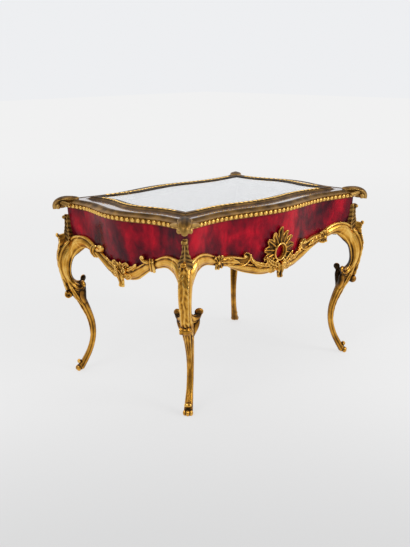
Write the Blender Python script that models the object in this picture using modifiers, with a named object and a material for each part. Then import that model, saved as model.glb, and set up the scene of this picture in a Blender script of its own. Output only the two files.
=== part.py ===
"""A table-top jewel vitrine in the form of a small serpentine table.

A case faced with red tortoiseshell stands on four scrolled gilt legs, and a glazed lid swings on two
hinges at its back. Lengths are in metres. X runs along the case, the front faces -Y, Z is up, and the
origin is on the floor under the middle of the case.
"""

import math
from dataclasses import dataclass

import bmesh
import bpy
from mathutils import Matrix, Vector

# Clearance between pieces that touch, the wider one of a piece fitted to a serpentine face, the
# distance at which a seam is welded, and the width of the slivers that a cut may leave
GAP = 0.0003
MOUNT_GAP = 0.0008
WELD = 0.000001
SLIVER = 0.00001

# Case: height of its top edge, half sizes at the top corners, and lean per metre of height
CASE_TOP = 0.2352
CORNER_X = 0.167
CORNER_Y = 0.1156
CASE_TAPER = 0.06

# Serpentine sides: distance from the middle to the neck, dip of the neck, stand of the middle at the
# top, and how far the middle draws in from there down to the lowest point of the apron
LONG_NECK = 0.100
LONG_NECK_DIP = 0.0070
LONG_BULGE = 0.0055
LONG_DRAW = 0.0035
SHORT_NECK = 0.080
SHORT_NECK_DIP = 0.0015
SHORT_BULGE = 0.0140
SHORT_DRAW = 0.0130

# Walls, floor and lining of the case
SHELL_THICK = 0.0012
CORE_THICK = 0.0100
BLOCK_LENGTH = 0.024
BLOCK_HEIGHT = 0.007
BOARD_THICK = 0.004
LINING_THICK = 0.0015
LINING_DROP = 0.0010
PAD_HEIGHT = 0.0075
PAD_ROUND = 0.003

# Apron band: lower edge at the legs, fall to the middle, height, thickness, and lap over the shell
APRON_BOTTOM = 0.185
APRON_DROP = 0.0295
APRON_HEIGHT = 0.0165
APRON_THICK = 0.0050
APRON_LAP = 0.0020
LONG_SHOULDER = 0.110
LONG_DIP = 0.025
SHORT_SHOULDER = 0.080
SHORT_DIP = 0.008

# Legs: heading of a leg's plane from X, stand of its middle outside the case's lower corner, and reach
# along the sides
LEG_HEADING = math.radians(36.87)
LEG_STAND = 0.0029
LEG_REACH = 0.0218

# The two bands that run from the aprons round the knee, and the scrolls that they end in under it
KNEE_REACH = 0.0062
KNEE_HALF_WIDTH = 0.0055
BAND_RADIUS = 0.0080
SCROLL_INSET = 0.0200
SCROLL_SPREAD = 0.0140
SCROLL_RADIUS = 0.0044

# The leafed ridge down the knee, its lower scroll, the bowed lower leg, and the toe
RIDGE_REACH = 0.0134
RIDGE_RADIUS = 0.0044
RIDGE_EYE_OUT = 0.0020
RIDGE_EYE_RADIUS = 0.0054
STEM_BOW = 0.0280
STEM_RADIUS = 0.0043
STEM_WIDTH_SHARE = 0.80
TOE_INSET = 0.0066
TOE_RADIUS = 0.0034
FOOT_INSET = 0.0055
FOOT_RADIUS = 0.0050

# Lug that carries a leg, its screw, and the leafy chute above the knee
LUG_WIDTH = 0.014
LUG_THICK = 0.005
LUG_EDGE = 0.0088
SCREW_EDGE = 0.0028
SCREW_RADIUS = 0.0013
SCREW_HEAD_RADIUS = 0.0026
SCREW_HEAD_HEIGHT = 0.0016
SCREW_BITE = 0.0040
CHUTE_BELOW = 0.0116
CHUTE_STAND = 0.0030
CHUTE_RADIUS = 0.0052
CHUTE_EYE_OUT = 0.0050
CHUTE_EYE_RADIUS = 0.0030

# Ornaments on the middle of each apron
CARTOUCHE_HALF_WIDTH = 0.032
CARTOUCHE_RISE = 0.044
CARTOUCHE_THICK = 0.0040
PENDANT_DROP = 0.0085
PENDANT_HALF_WIDTH = 0.010
OVAL_RISE = 0.0110
OVAL_HALF_WIDTH = 0.0066
OVAL_HALF_HEIGHT = 0.0082
SPRAY_HALF_WIDTH = 0.020
SPRAY_RISE = 0.0040
SPRAY_THICK = 0.0035

# Lid edge, rails, glass and glazing frame
OVERHANG = 0.0050
BEAD_SWELL = 0.0006
BEAD_HEIGHT = 0.0055
COVE_RISE = 0.0050
COVE_IN = 0.0055
COVE_LIP = 0.0004
RAIL_WIDTH = 0.040
GLASS_INSET = 0.0265
GLASS_SINK = 0.0023
GLASS_THICK = 0.0040
GLASS_BEVEL = 0.0010
FRAME_INSET = 0.0210
FRAME_WIDTH = 0.0125
FRAME_OVER = 0.0022
LID_EASE = 0.40

# Beaked mounts on the lid's corners
BEAK_HEADING = math.radians(45)
BEAK_REACH = 0.0195
BEAK_DROP = 0.0150
BEAK_RADIUS = 0.0046
BEAK_WIDTH_SHARE = 1.5

# Hinges at the back
HINGE_X = 0.045
HINGE_LENGTH = 0.030
KNUCKLE_RADIUS = 0.0022
KNUCKLE_MIDDLE = 0.011
PIN_RADIUS = 0.0011
PIN_HEAD = 0.0010
LEAF_THICK = 0.0012
LEAF_LENGTH = 0.016
AXIS_STANDOFF = 0.0030

# How finely the pieces are divided
LONG_COLUMNS = 20
SHORT_COLUMNS = 16
TUBE_SIDES = 8
TUBE_STEPS = 1
BALL_SEGMENTS = 7
BALL_RINGS = 5
TURNED_STEPS = 12
KNUCKLE_SIDES = 14
OVAL_SIDES = 16
ORNAMENT_COLUMNS = 12

# Levels and depths that follow from the sizes above
SHELL_BOTTOM = APRON_BOTTOM + APRON_LAP
LEG_TOP = SHELL_BOTTOM - GAP
APRON_TOP = APRON_BOTTOM + APRON_HEIGHT
APRON_LOW = APRON_BOTTOM - APRON_DROP
CHUTE_FOOT = APRON_TOP + 2 * GAP
CHUTE_HEIGHT = CASE_TOP - CHUTE_BELOW - CHUTE_FOOT
CORE_DEPTH = SHELL_THICK + GAP
INNER_DEPTH = CORE_DEPTH + CORE_THICK + MOUNT_GAP
SCREW_INSET = LEG_STAND + INNER_DEPTH + SCREW_EDGE
SCREW_LENGTH = LUG_THICK + SCREW_BITE
LUG_LENGTH = SCREW_INSET * (math.cos(LEG_HEADING) + math.sin(LEG_HEADING)) + LUG_EDGE
BOARD_BOTTOM = SHELL_BOTTOM + BLOCK_HEIGHT + GAP
FLOOR = BOARD_BOTTOM + BOARD_THICK
LID_BOTTOM = CASE_TOP + GAP
RAIL_TOP = LID_BOTTOM + BEAD_HEIGHT + COVE_RISE
LEDGE = RAIL_TOP - GLASS_SINK
GLASS_TOP = LEDGE + GAP + GLASS_THICK
FRAME_TOP = GLASS_TOP + GAP + FRAME_OVER
AXIS_Y = CORNER_Y + LONG_BULGE + AXIS_STANDOFF
AXIS_Z = CASE_TOP - KNUCKLE_RADIUS


@dataclass(frozen=True)
class Side:
    """One side of the case: which way it faces and how its serpentine runs."""

    name: str
    lies_along_x: bool
    sign: int
    half_run: float
    half_out: float
    neck: float
    neck_dip: float
    bulge: float
    draw: float
    shoulder: float
    dip: float
    columns: int


def long_side(name, sign):
    """A side that runs along X."""
    return Side(name, True, sign, CORNER_X, CORNER_Y, LONG_NECK, LONG_NECK_DIP, LONG_BULGE,
                LONG_DRAW, LONG_SHOULDER, LONG_DIP, LONG_COLUMNS)


def short_side(name, sign):
    """A side that runs along Y."""
    return Side(name, False, sign, CORNER_Y, CORNER_X, SHORT_NECK, SHORT_NECK_DIP, SHORT_BULGE,
                SHORT_DRAW, SHORT_SHOULDER, SHORT_DIP, SHORT_COLUMNS)


FRONT = long_side("front", -1)
BACK = long_side("back", 1)
LEFT = short_side("left", -1)
RIGHT = short_side("right", 1)
SIDES = (FRONT, BACK, LEFT, RIGHT)
CORNERS = {
    "front_left": (-1, -1),
    "front_right": (1, -1),
    "back_left": (-1, 1),
    "back_right": (1, 1),
}


def swell(side, share, height):
    """How far a side stands out from the line between its corners, at a share of its half run."""
    distance = abs(share) * side.half_run
    if distance <= side.neck:
        wave = math.cos(math.pi / 2 * distance / side.neck) ** 2
        bulge = side.bulge - side.draw * max(CASE_TOP - height, 0.0) / (CASE_TOP - APRON_LOW)
        return (bulge + side.neck_dip) * wave - side.neck_dip
    rest = (distance - side.neck) / (side.half_run - side.neck)
    return -side.neck_dip * math.cos(math.pi / 2 * rest) ** 2


def lean(height):
    """How far the case has drawn in at a height below its top."""
    return CASE_TAPER * max(CASE_TOP - height, 0.0)


def place(side, share, depth, height):
    """The point at a share of a side, so far inside its face and at a height; corners are mitred."""
    inset = depth + lean(height)
    ease = 1.0
    if height >= LID_BOTTOM and depth > 0.0:
        ease = 1.0 - LID_EASE * depth / RAIL_WIDTH
    along = share * (side.half_run - inset)
    out = side.sign * (side.half_out - inset + ease * swell(side, share, height))
    if side.lies_along_x:
        return Vector((along, out, height))
    return Vector((out, along, height))


def apron_bottom(side, share):
    """Height of the apron's lower edge at a share of a side."""
    distance = abs(share) * side.half_run
    fall = (side.shoulder - distance) / (side.shoulder - side.dip)
    fall = min(max(fall, 0.0), 1.0)
    return APRON_BOTTOM - APRON_DROP * math.sin(math.pi / 2 * fall) ** 2


def stations():
    """Shares of the four sides in turn, counterclockwise from above, each corner once."""
    around = []
    for side, way in ((FRONT, 1), (RIGHT, 1), (BACK, -1), (LEFT, -1)):
        for step in range(side.columns):
            around.append((side, way * (2 * step / side.columns - 1)))
    return around


def new_collection(name):
    """A collection linked to the scene."""
    group = bpy.data.collections.new(name)
    bpy.context.scene.collection.children.link(group)
    return group


def finish(name, colour, roughness, metallic):
    """A Principled material."""
    material = bpy.data.materials.new(name)
    material.use_nodes = True
    shader = material.node_tree.nodes["Principled BSDF"]
    shader.inputs["Base Color"].default_value = (*colour, 1.0)
    shader.inputs["Roughness"].default_value = roughness
    shader.inputs["Metallic"].default_value = metallic
    material.diffuse_color = (*colour, 1.0)
    return material


class Workshop:
    """The collections, finishes and lid pivot that every piece is made with."""

    def __init__(self):
        for thing in list(bpy.data.objects):
            bpy.data.objects.remove(thing)
        self.parts = new_collection("jewelry_vitrine")
        self.cutters = new_collection("cutters")
        self.gilt = finish("gilt_bronze", (0.62, 0.40, 0.12), 0.35, 1.0)
        self.shell = finish("red_tortoiseshell", (0.32, 0.02, 0.03), 0.15, 0.0)
        self.wood = finish("dark_wood", (0.16, 0.06, 0.03), 0.45, 0.0)
        self.polished = finish("polished_wood", (0.22, 0.07, 0.04), 0.12, 0.0)
        self.silk = finish("ivory_silk", (0.85, 0.82, 0.74), 0.7, 0.0)
        self.glass = finish("glass", (0.92, 0.95, 0.94), 0.03, 0.0)
        self.brass = finish("brass", (0.70, 0.52, 0.22), 0.3, 1.0)
        self.steel = finish("steel", (0.45, 0.44, 0.42), 0.4, 1.0)
        self.pivot = bpy.data.objects.new("lid_pivot", None)
        self.pivot.location = (0.0, AXIS_Y, AXIS_Z)
        self.parts.objects.link(self.pivot)
        bpy.context.view_layer.update()

    def piece(self, name, shape, material, on_lid=False):
        """Turn a bmesh into a named part of the case or of the lid."""
        thing = self.wrap(name, shape)
        thing.data.materials.append(material)
        self.parts.objects.link(thing)
        if on_lid:
            thing.parent = self.pivot
            thing.matrix_parent_inverse = self.pivot.matrix_world.inverted()
        return thing

    def cutter(self, name, shape):
        """Turn a bmesh into a helper that cuts or joins."""
        thing = self.wrap(name, shape)
        thing.hide_render = True
        thing.display_type = "WIRE"
        self.cutters.objects.link(thing)
        return thing

    def wrap(self, name, shape):
        """Move a bmesh into a new object."""
        data = bpy.data.meshes.new(name)
        shape.to_mesh(data)
        shape.free()
        return bpy.data.objects.new(name, data)


def shape_by(target, helper, operation):
    """Add one Boolean to a part."""
    change = target.modifiers.new(helper.name, "BOOLEAN")
    change.operation = operation
    change.solver = "EXACT"
    change.object = helper


def settled(thing):
    """The mesh of an object with its modifiers applied, as a bmesh in world space."""
    bpy.context.view_layer.update()
    depsgraph = bpy.context.evaluated_depsgraph_get()
    data = bpy.data.meshes.new_from_object(thing.evaluated_get(depsgraph))
    shape = bmesh.new()
    shape.from_mesh(data)
    shape.transform(thing.matrix_world)
    bmesh.ops.remove_doubles(shape, verts=shape.verts, dist=SLIVER)
    bmesh.ops.dissolve_degenerate(shape, edges=shape.edges, dist=SLIVER)
    bpy.data.meshes.remove(data)
    return shape


def close_up(shape):
    """Weld the seams, fill the open ends, turn the faces outward and fold them alike on neighbours."""
    bmesh.ops.remove_doubles(shape, verts=shape.verts, dist=WELD)
    bmesh.ops.holes_fill(shape, edges=shape.edges)
    bmesh.ops.recalc_face_normals(shape, faces=shape.faces)
    bmesh.ops.triangulate(shape, faces=shape.faces, quad_method="SHORT_EDGE", ngon_method="EAR_CLIP")
    return shape


def sweep(side, section, reach, columns):
    """Run a closed section along a side; section(share) lists its corners as (depth, height)."""
    corners = len(section(0.0))
    shape = bmesh.new()
    bmesh.ops.create_grid(shape, x_segments=columns, y_segments=corners, size=0.5)
    for vert in shape.verts:
        share = 2 * reach * vert.co.x
        corner = round((vert.co.y + 0.5) * corners) % corners
        depth, height = section(share)[corner]
        vert.co = place(side, share, depth, height)
    return close_up(shape)


def stack(rings, closed=False):
    """Run rings of (depth, height) round all four sides, capped, or closed into a hoop."""
    around = stations()
    layers = len(rings) if closed else len(rings) - 1
    shape = bmesh.new()
    bmesh.ops.create_grid(shape, x_segments=len(around), y_segments=layers, size=0.5)
    for vert in shape.verts:
        side, share = around[round((vert.co.x + 0.5) * len(around)) % len(around)]
        depth, height = rings[round((vert.co.y + 0.5) * layers) % len(rings)]
        vert.co = place(side, share, depth, height)
    return close_up(shape)


def prism(outline, bottom, top):
    """A straight prism on plan points between two heights, drawn in as the case leans."""
    count = len(outline)
    shape = bmesh.new()
    bmesh.ops.create_cone(shape, cap_ends=True, segments=count, radius1=1.0, radius2=1.0, depth=1.0)
    for vert in shape.verts:
        corner = round(math.atan2(vert.co.y, vert.co.x) / (2 * math.pi / count)) % count
        level = top if vert.co.z > 0.0 else bottom
        vert.co = outline[corner](level)
    bmesh.ops.recalc_face_normals(shape, faces=shape.faces)
    return shape


def box(low, high):
    """A box between two corners."""
    shape = bmesh.new()
    size = Vector(high) - Vector(low)
    middle = (Vector(high) + Vector(low)) / 2
    spot = Matrix.Translation(middle) @ Matrix.Diagonal((*size, 1.0))
    bmesh.ops.create_cube(shape, size=1.0, matrix=spot)
    return shape


def rod(start, end, radius, sides):
    """A cylinder between two points."""
    run = Vector(end) - Vector(start)
    turn = Vector((0.0, 0.0, 1.0)).rotation_difference(run).to_matrix().to_4x4()
    spot = Matrix.Translation((Vector(start) + Vector(end)) / 2) @ turn
    shape = bmesh.new()
    bmesh.ops.create_cone(shape, cap_ends=True, segments=sides, radius1=radius, radius2=radius,
                          depth=run.length, matrix=spot)
    return shape


def ball(radius, matrix):
    """A round ball, placed and squashed by a matrix."""
    shape = bmesh.new()
    bmesh.ops.create_uvsphere(shape, u_segments=BALL_SEGMENTS, v_segments=BALL_RINGS, radius=radius,
                              matrix=matrix)
    return shape


def turned(shop, name, profile, frame):
    """A body turned about the Z axis of a frame, from a profile of (radius, height) read downward."""
    data = bpy.data.meshes.new(name)
    points = [(radius, 0.0, height) for radius, height in profile]
    data.from_pydata(points, [(step, step + 1) for step in range(len(points) - 1)], [])
    thing = bpy.data.objects.new(name, data)
    shop.cutters.objects.link(thing)
    spin = thing.modifiers.new("turn", "SCREW")
    spin.steps = TURNED_STEPS
    spin.render_steps = TURNED_STEPS
    spin.use_merge_vertices = True
    spin.merge_threshold = WELD
    shape = settled(thing)
    bpy.data.objects.remove(thing)
    shape.transform(frame)
    bmesh.ops.recalc_face_normals(shape, faces=shape.faces)
    return shape


def tube(shop, name, path):
    """A round tube through (point, radius) pairs, smooth between them and capped."""
    data = bpy.data.curves.new(name, "CURVE")
    data.dimensions = "3D"
    data.bevel_depth = 1.0
    data.bevel_resolution = TUBE_SIDES // 2 - 2
    data.resolution_u = TUBE_STEPS
    data.use_fill_caps = True
    spline = data.splines.new("BEZIER")
    spline.bezier_points.add(len(path) - 1)
    for knot, (point, radius) in zip(spline.bezier_points, path):
        knot.co = point
        knot.radius = radius
        knot.handle_left_type = "AUTO"
        knot.handle_right_type = "AUTO"
    thing = bpy.data.objects.new(name, data)
    shop.cutters.objects.link(thing)
    shape = settled(thing)
    bpy.data.objects.remove(thing)
    bmesh.ops.recalc_face_normals(shape, faces=shape.faces)
    return shape


def united(shop, name, shapes, cuts):
    """Join shapes into one body and take the cutters out of it; the result is a bmesh."""
    body = shop.cutter(name, shapes[0])
    helpers = [shop.cutter(f"{name}_{number}", shape) for number, shape in enumerate(shapes[1:])]
    for helper in helpers:
        shape_by(body, helper, "UNION")
    for cut in cuts:
        shape_by(body, cut, "DIFFERENCE")
    shape = settled(body)
    for helper in (body, *helpers):
        bpy.data.objects.remove(helper)
    return shape


def mirrored(shape, flip_x, flip_y):
    """A copy of the front left corner's piece for another corner."""
    copy = shape.copy()
    copy.transform(Matrix.Diagonal((-flip_x, -flip_y, 1.0, 1.0)))
    if flip_x * flip_y < 0:
        bmesh.ops.reverse_faces(copy, faces=copy.faces)
    return copy


def corner_frame(heading, height, stand):
    """Frame of the front left corner at a height: X outward along a heading, Y to the front, Z up."""
    outward = Vector((-math.cos(heading), -math.sin(heading), 0.0))
    across = Vector((math.sin(heading), -math.cos(heading), 0.0))
    inset = lean(height) - stand
    return Matrix((
        (outward.x, across.x, 0.0, inset - CORNER_X),
        (outward.y, across.y, 0.0, inset - CORNER_Y),
        (0.0, 0.0, 1.0, 0.0),
        (0.0, 0.0, 0.0, 1.0),
    ))


def make_walls(shop):
    """Tortoiseshell facings over wooden cores, mitred at the corners."""
    for side in SIDES:
        def shell(share, side=side):
            bottom = apron_bottom(side, share) + APRON_LAP
            return [(0.0, CASE_TOP), (0.0, bottom), (SHELL_THICK, bottom), (SHELL_THICK, CASE_TOP)]

        def core(share, side=side):
            bottom = apron_bottom(side, share) + APRON_LAP
            inner = CORE_DEPTH + CORE_THICK
            return [(CORE_DEPTH, CASE_TOP), (CORE_DEPTH, bottom), (inner, bottom), (inner, CASE_TOP)]

        mitre = 1.0 - GAP / side.half_run
        shop.piece(f"shell_panel_{side.name}", sweep(side, shell, mitre, side.columns), shop.shell)
        shop.piece(f"case_rail_{side.name}", sweep(side, core, mitre, side.columns), shop.wood)


def block_corner(side, length):
    """A plan point of the front left block, so far along a side, as a function of the level."""
    def at(level):
        return place(side, length / side.half_run - 1.0, INNER_DEPTH, level)

    return at


def make_floor(shop):
    """Corner blocks, the bottom board, and the padded lining of the case."""
    drill = rod(screw_point(0.0), screw_point(CASE_TOP), SCREW_RADIUS + GAP, TURNED_STEPS)
    screw_hole = shop.cutter("screw_hole", drill)
    half_block = 0.5 * BLOCK_LENGTH
    outline = [block_corner(FRONT, length) for length in (0.0, half_block, BLOCK_LENGTH)]
    outline += [block_corner(LEFT, length) for length in (BLOCK_LENGTH, half_block)]
    solid = prism(outline, SHELL_BOTTOM, SHELL_BOTTOM + BLOCK_HEIGHT)
    block = united(shop, "block", [solid], [screw_hole])
    for name, flips in CORNERS.items():
        shop.piece(f"corner_block_{name}", mirrored(block, *flips), shop.wood)
    shop.piece("bottom_board", stack([(INNER_DEPTH, BOARD_BOTTOM), (INNER_DEPTH, FLOOR)]), shop.wood)
    low = FLOOR + GAP
    high = CASE_TOP - LEAF_THICK - LINING_DROP
    inner = INNER_DEPTH + LINING_THICK
    hoop = [(INNER_DEPTH, low), (INNER_DEPTH, high), (inner, high), (inner, low)]
    shop.piece("lining_walls", stack(hoop, closed=True), shop.silk)
    edge = inner + GAP
    pad = [
        (edge + PAD_ROUND / 2, low),
        (edge, low + PAD_HEIGHT / 3),
        (edge + PAD_ROUND, low + 2 * PAD_HEIGHT / 3),
        (edge + 4 * PAD_ROUND, low + PAD_HEIGHT),
    ]
    shop.piece("lining_pad", stack(pad), shop.silk)


def apron_section(side, share):
    """Corners of the apron's rounded band."""
    low = apron_bottom(side, share)
    high = low + APRON_HEIGHT
    back = -MOUNT_GAP
    shoulder = back - 0.6 * APRON_THICK
    face = back - APRON_THICK
    third = APRON_HEIGHT / 3
    return [(back, low), (shoulder, low), (face, low + third),
            (face, high - third), (shoulder, high), (back, high)]


def make_aprons(shop):
    """Gilt bands along the lower edge of the case, from leg to leg."""
    for side in SIDES:
        def section(share, side=side):
            return apron_section(side, share)

        reach = (side.half_run - LEG_REACH - GAP) / (side.half_run + APRON_THICK + MOUNT_GAP)
        shop.piece(f"apron_{side.name}", sweep(side, section, reach, side.columns), shop.gilt)


def ornament_section(side, share, half_width, rise, thick):
    """Corners of a shield that stands on the panel above the apron and laps down over the apron."""
    distance = min(abs(share) * side.half_run / half_width, 1.0)
    low = apron_bottom(side, share)
    joint = low + APRON_HEIGHT + MOUNT_GAP
    top = joint + rise * (0.25 + 0.75 * math.cos(math.pi / 2 * distance))
    hang = max(1.0 - abs(share) * side.half_run / PENDANT_HALF_WIDTH, 0.0)
    bottom = low + 0.5 * APRON_HEIGHT - (0.5 * APRON_HEIGHT + PENDANT_DROP) * hang
    back = -MOUNT_GAP
    over = -2 * MOUNT_GAP - APRON_THICK
    face = over - thick
    return [(back, top), (back, joint), (over, joint), (over, bottom), (face + thick / 2, bottom),
            (face, bottom + thick / 2), (face, joint), (back - thick, top)]


def make_ornaments(shop):
    """Pierced cartouches in the middle of the long sides and sprays in the middle of the short ones."""
    for side in (FRONT, BACK):
        def shield(share, side=side):
            return ornament_section(side, share, CARTOUCHE_HALF_WIDTH, CARTOUCHE_RISE, CARTOUCHE_THICK)

        reach = CARTOUCHE_HALF_WIDTH / side.half_run
        cast = sweep(side, shield, reach, ORNAMENT_COLUMNS)
        thing = shop.piece(f"cartouche_{side.name}", cast, shop.gilt)
        level = apron_bottom(side, 0.0) + APRON_HEIGHT + OVAL_RISE
        oval = rod((0.0, 0.0, 0.0), (0.0, side.sign * 2 * CORNER_Y, 0.0), 1.0, OVAL_SIDES)
        oval.transform(Matrix.Diagonal((OVAL_HALF_WIDTH, 1.0, OVAL_HALF_HEIGHT, 1.0)))
        oval.transform(Matrix.Translation((0.0, 0.0, level)))
        shape_by(thing, shop.cutter(f"oval_{side.name}", oval), "DIFFERENCE")
    for side in (LEFT, RIGHT):
        def spray(share, side=side):
            return ornament_section(side, share, SPRAY_HALF_WIDTH, SPRAY_RISE, SPRAY_THICK)

        reach = SPRAY_HALF_WIDTH / side.half_run
        shop.piece(f"spray_{side.name}", sweep(side, spray, reach, ORNAMENT_COLUMNS), shop.gilt)


def screw_point(level):
    """A point on the axis of the front left leg's fixing screw."""
    inset = lean(LEG_TOP) - LEG_STAND + SCREW_INSET
    return (inset - CORNER_X, inset - CORNER_Y, level)


def case_envelope(shop):
    """The outside of the case, grown by a clearance, that the corner castings are fitted round."""
    return shop.cutter("case_envelope", stack([(-GAP, LEG_TOP), (-GAP, LID_BOTTOM)]))


def leg_band(shop, side, across, frame):
    """One scrolled band: from the apron's end round the knee and in to the scroll under it."""
    start = 1.0 - LEG_REACH / side.half_run
    middle = APRON_BOTTOM + APRON_HEIGHT / 2
    half = APRON_HEIGHT / 2
    path = [
        (place(side, -start, -0.6 * APRON_THICK, middle), half),
        (place(side, -0.5 * start - 0.5, -APRON_THICK, middle - 0.001), half),
    ]
    knee = [
        (1.00, 1.00, 0.965, 1.00),
        (0.84, 0.76, 0.880, 0.95),
        (0.77, 0.69, 0.800, 0.925),
        (0.355, 0.76, 0.735, 0.825),
    ]
    for outward, aside, height_share, radius in knee:
        spot = Vector((outward * KNEE_REACH, across * aside * KNEE_HALF_WIDTH, height_share * LEG_TOP))
        path.append((frame @ spot, radius * BAND_RADIUS))
    curl = [
        (0.25, 0.464, 0.700, 1.136),
        (0.60, 0.714, 0.688, 0.909),
        (0.90, 0.929, 0.690, 0.773),
    ]
    for inward, aside, height_share, radius in curl:
        spot = Vector((-inward * SCROLL_INSET, across * aside * SCROLL_SPREAD, height_share * LEG_TOP))
        path.append((frame @ spot, radius * SCROLL_RADIUS))
    return tube(shop, f"band_{side.name}", path)


def leg_ball(frame, outward, across, height_share, radius, width):
    """A scroll's eye, wider or narrower across the leg."""
    spot = Matrix.Translation((outward, across, height_share * LEG_TOP))
    return ball(radius, frame @ spot @ Matrix.Diagonal((1.0, width, 1.0, 1.0)))


def leg_stem(shop, frame):
    """The S-shaped lower leg, from inside the knee to the toe."""
    run = [
        (-0.07, 0.760, 1.58),
        (0.18, 0.680, 2.05),
        (0.36, 0.615, 2.05),
        (0.535, 0.550, 1.49),
        (0.79, 0.465, 1.21),
        (0.955, 0.385, 1.07),
        (1.00, 0.305, 1.00),
        (0.935, 0.228, 0.98),
        (0.77, 0.150, 1.00),
        (0.535, 0.080, 1.05),
        (0.285, 0.022, 1.05),
    ]
    path = []
    for inward, height_share, radius in run:
        spot = Vector((-inward * STEM_BOW, 0.0, height_share * LEG_TOP))
        path.append((spot, radius * STEM_RADIUS))
    stem = tube(shop, "stem", path)
    stem.transform(frame @ Matrix.Diagonal((1.0, STEM_WIDTH_SHARE, 1.0, 1.0)))
    return stem


def leg_ridge(shop, frame):
    """The leafed ridge down the outside of the knee."""
    run = [
        (0.75, 1.070, 0.91),
        (0.93, 0.990, 1.00),
        (1.00, 0.910, 0.955),
        (0.91, 0.815, 0.91),
        (0.67, 0.740, 0.84),
        (0.37, 0.675, 0.80),
        (0.075, 0.620, 0.77),
    ]
    path = []
    for outward, height_share, radius in run:
        spot = Vector((outward * RIDGE_REACH, 0.0, height_share * LEG_TOP))
        path.append((frame @ spot, radius * RIDGE_RADIUS))
    return tube(shop, "ridge", path)


def make_legs(shop, envelope):
    """Four scrolled legs, each one casting with a lug, and the screws that hold them."""
    frame = corner_frame(LEG_HEADING, LEG_TOP, LEG_STAND)
    shapes = [
        leg_stem(shop, frame),
        leg_band(shop, FRONT, 1, frame),
        leg_band(shop, LEFT, -1, frame),
        leg_ridge(shop, frame),
        leg_ball(frame, -SCROLL_INSET, SCROLL_SPREAD, 0.700, SCROLL_RADIUS, 1.0),
        leg_ball(frame, -SCROLL_INSET, -SCROLL_SPREAD, 0.700, SCROLL_RADIUS, 1.0),
        leg_ball(frame, RIDGE_EYE_OUT, 0.0, 0.611, RIDGE_EYE_RADIUS, 1.1),
        leg_ball(frame, -TOE_INSET, 0.0, 0.072, TOE_RADIUS, 1.7),
        leg_ball(frame, -FOOT_INSET, 0.0, 0.020, FOOT_RADIUS, 1.3),
    ]
    half_lug = LUG_WIDTH / 2
    lug = box((-LUG_LENGTH, -half_lug, LEG_TOP - LUG_THICK), (half_lug, half_lug, LEG_TOP + LUG_THICK))
    lug.transform(frame)
    shapes.append(lug)
    far = 2 * CORNER_X
    crown = APRON_TOP + GAP
    knee_low = 0.80 * LEG_TOP
    cuts = [
        envelope,
        shop.cutter("under_floor", box((-far, -far, -far), (far, far, 0.0))),
        shop.cutter("over_knee", box((-far, -far, crown), (far, far, far))),
        shop.cutter("beside_long", box((LEG_REACH - CORNER_X, -far, knee_low), (far, far, far))),
        shop.cutter("beside_short", box((-far, LEG_REACH - CORNER_Y, knee_low), (far, far, far))),
        bpy.data.objects["screw_hole"],
    ]
    leg = united(shop, "leg", shapes, cuts)
    head = LEG_TOP - LUG_THICK - GAP
    profile = [
        (0.0, SCREW_LENGTH),
        (SCREW_RADIUS, SCREW_LENGTH - SCREW_RADIUS),
        (SCREW_RADIUS, 0.0),
        (SCREW_HEAD_RADIUS, 0.0),
        (0.8 * SCREW_HEAD_RADIUS, -SCREW_HEAD_HEIGHT),
        (0.0, -SCREW_HEAD_HEIGHT),
    ]
    screw = turned(shop, "screw", profile, Matrix.Translation(screw_point(head)))
    for name, flips in CORNERS.items():
        shop.piece(f"leg_{name}", mirrored(leg, *flips), shop.gilt)
        shop.piece(f"leg_screw_{name}", mirrored(screw, *flips), shop.steel)


def make_chutes(shop, envelope):
    """Leafy drops on the case's corners, each standing on the knee of its leg."""
    frame = corner_frame(LEG_HEADING, LEG_TOP, LEG_STAND)
    run = [
        (1.00, -0.19, 1.00),
        (0.87, 0.19, 0.92),
        (0.67, 0.465, 0.81),
        (0.73, 0.745, 0.69),
        (1.00, 1.00, 0.50),
    ]
    path = []
    for outward, up, radius in run:
        spot = Vector((outward * CHUTE_STAND, 0.0, CHUTE_FOOT + up * CHUTE_HEIGHT))
        path.append((frame @ spot, radius * CHUTE_RADIUS))
    crest = CHUTE_FOOT + CHUTE_HEIGHT - 0.67 * CHUTE_EYE_RADIUS
    eye = ball(CHUTE_EYE_RADIUS, frame @ Matrix.Translation((CHUTE_EYE_OUT, 0.0, crest)))
    far = 2 * CORNER_X
    under = shop.cutter("under_chute", box((-far, -far, -far), (far, far, CHUTE_FOOT)))
    chute = united(shop, "chute", [tube(shop, "drop", path), eye], [envelope, under])
    for name, flips in CORNERS.items():
        shop.piece(f"chute_{name}", mirrored(chute, *flips), shop.gilt)


def edge_section(_share):
    """Corners of the lid's edge moulding: a bead below a cove, rebated over the rail."""
    seat = LID_BOTTOM + BEAD_HEIGHT
    return [
        (-GAP, LID_BOTTOM),
        (-OVERHANG, LID_BOTTOM),
        (-OVERHANG - BEAD_SWELL, LID_BOTTOM + BEAD_HEIGHT / 2),
        (-OVERHANG, seat),
        (-0.7 * OVERHANG, seat + COVE_LIP),
        (-0.25 * OVERHANG, seat + 0.35 * COVE_RISE),
        (COVE_IN, RAIL_TOP + COVE_LIP),
        (COVE_IN, seat + GAP),
        (-GAP, seat + GAP),
    ]


def rail_section(_share):
    """Corners of a lid rail: rebated outside for the edge moulding and inside for the glass."""
    seat = LID_BOTTOM + BEAD_HEIGHT
    return [
        (0.0, LID_BOTTOM),
        (0.0, seat),
        (COVE_IN + GAP, seat),
        (COVE_IN + GAP, RAIL_TOP),
        (GLASS_INSET, RAIL_TOP),
        (GLASS_INSET, LEDGE),
        (RAIL_WIDTH, LEDGE),
        (RAIL_WIDTH, LID_BOTTOM),
    ]


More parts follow.
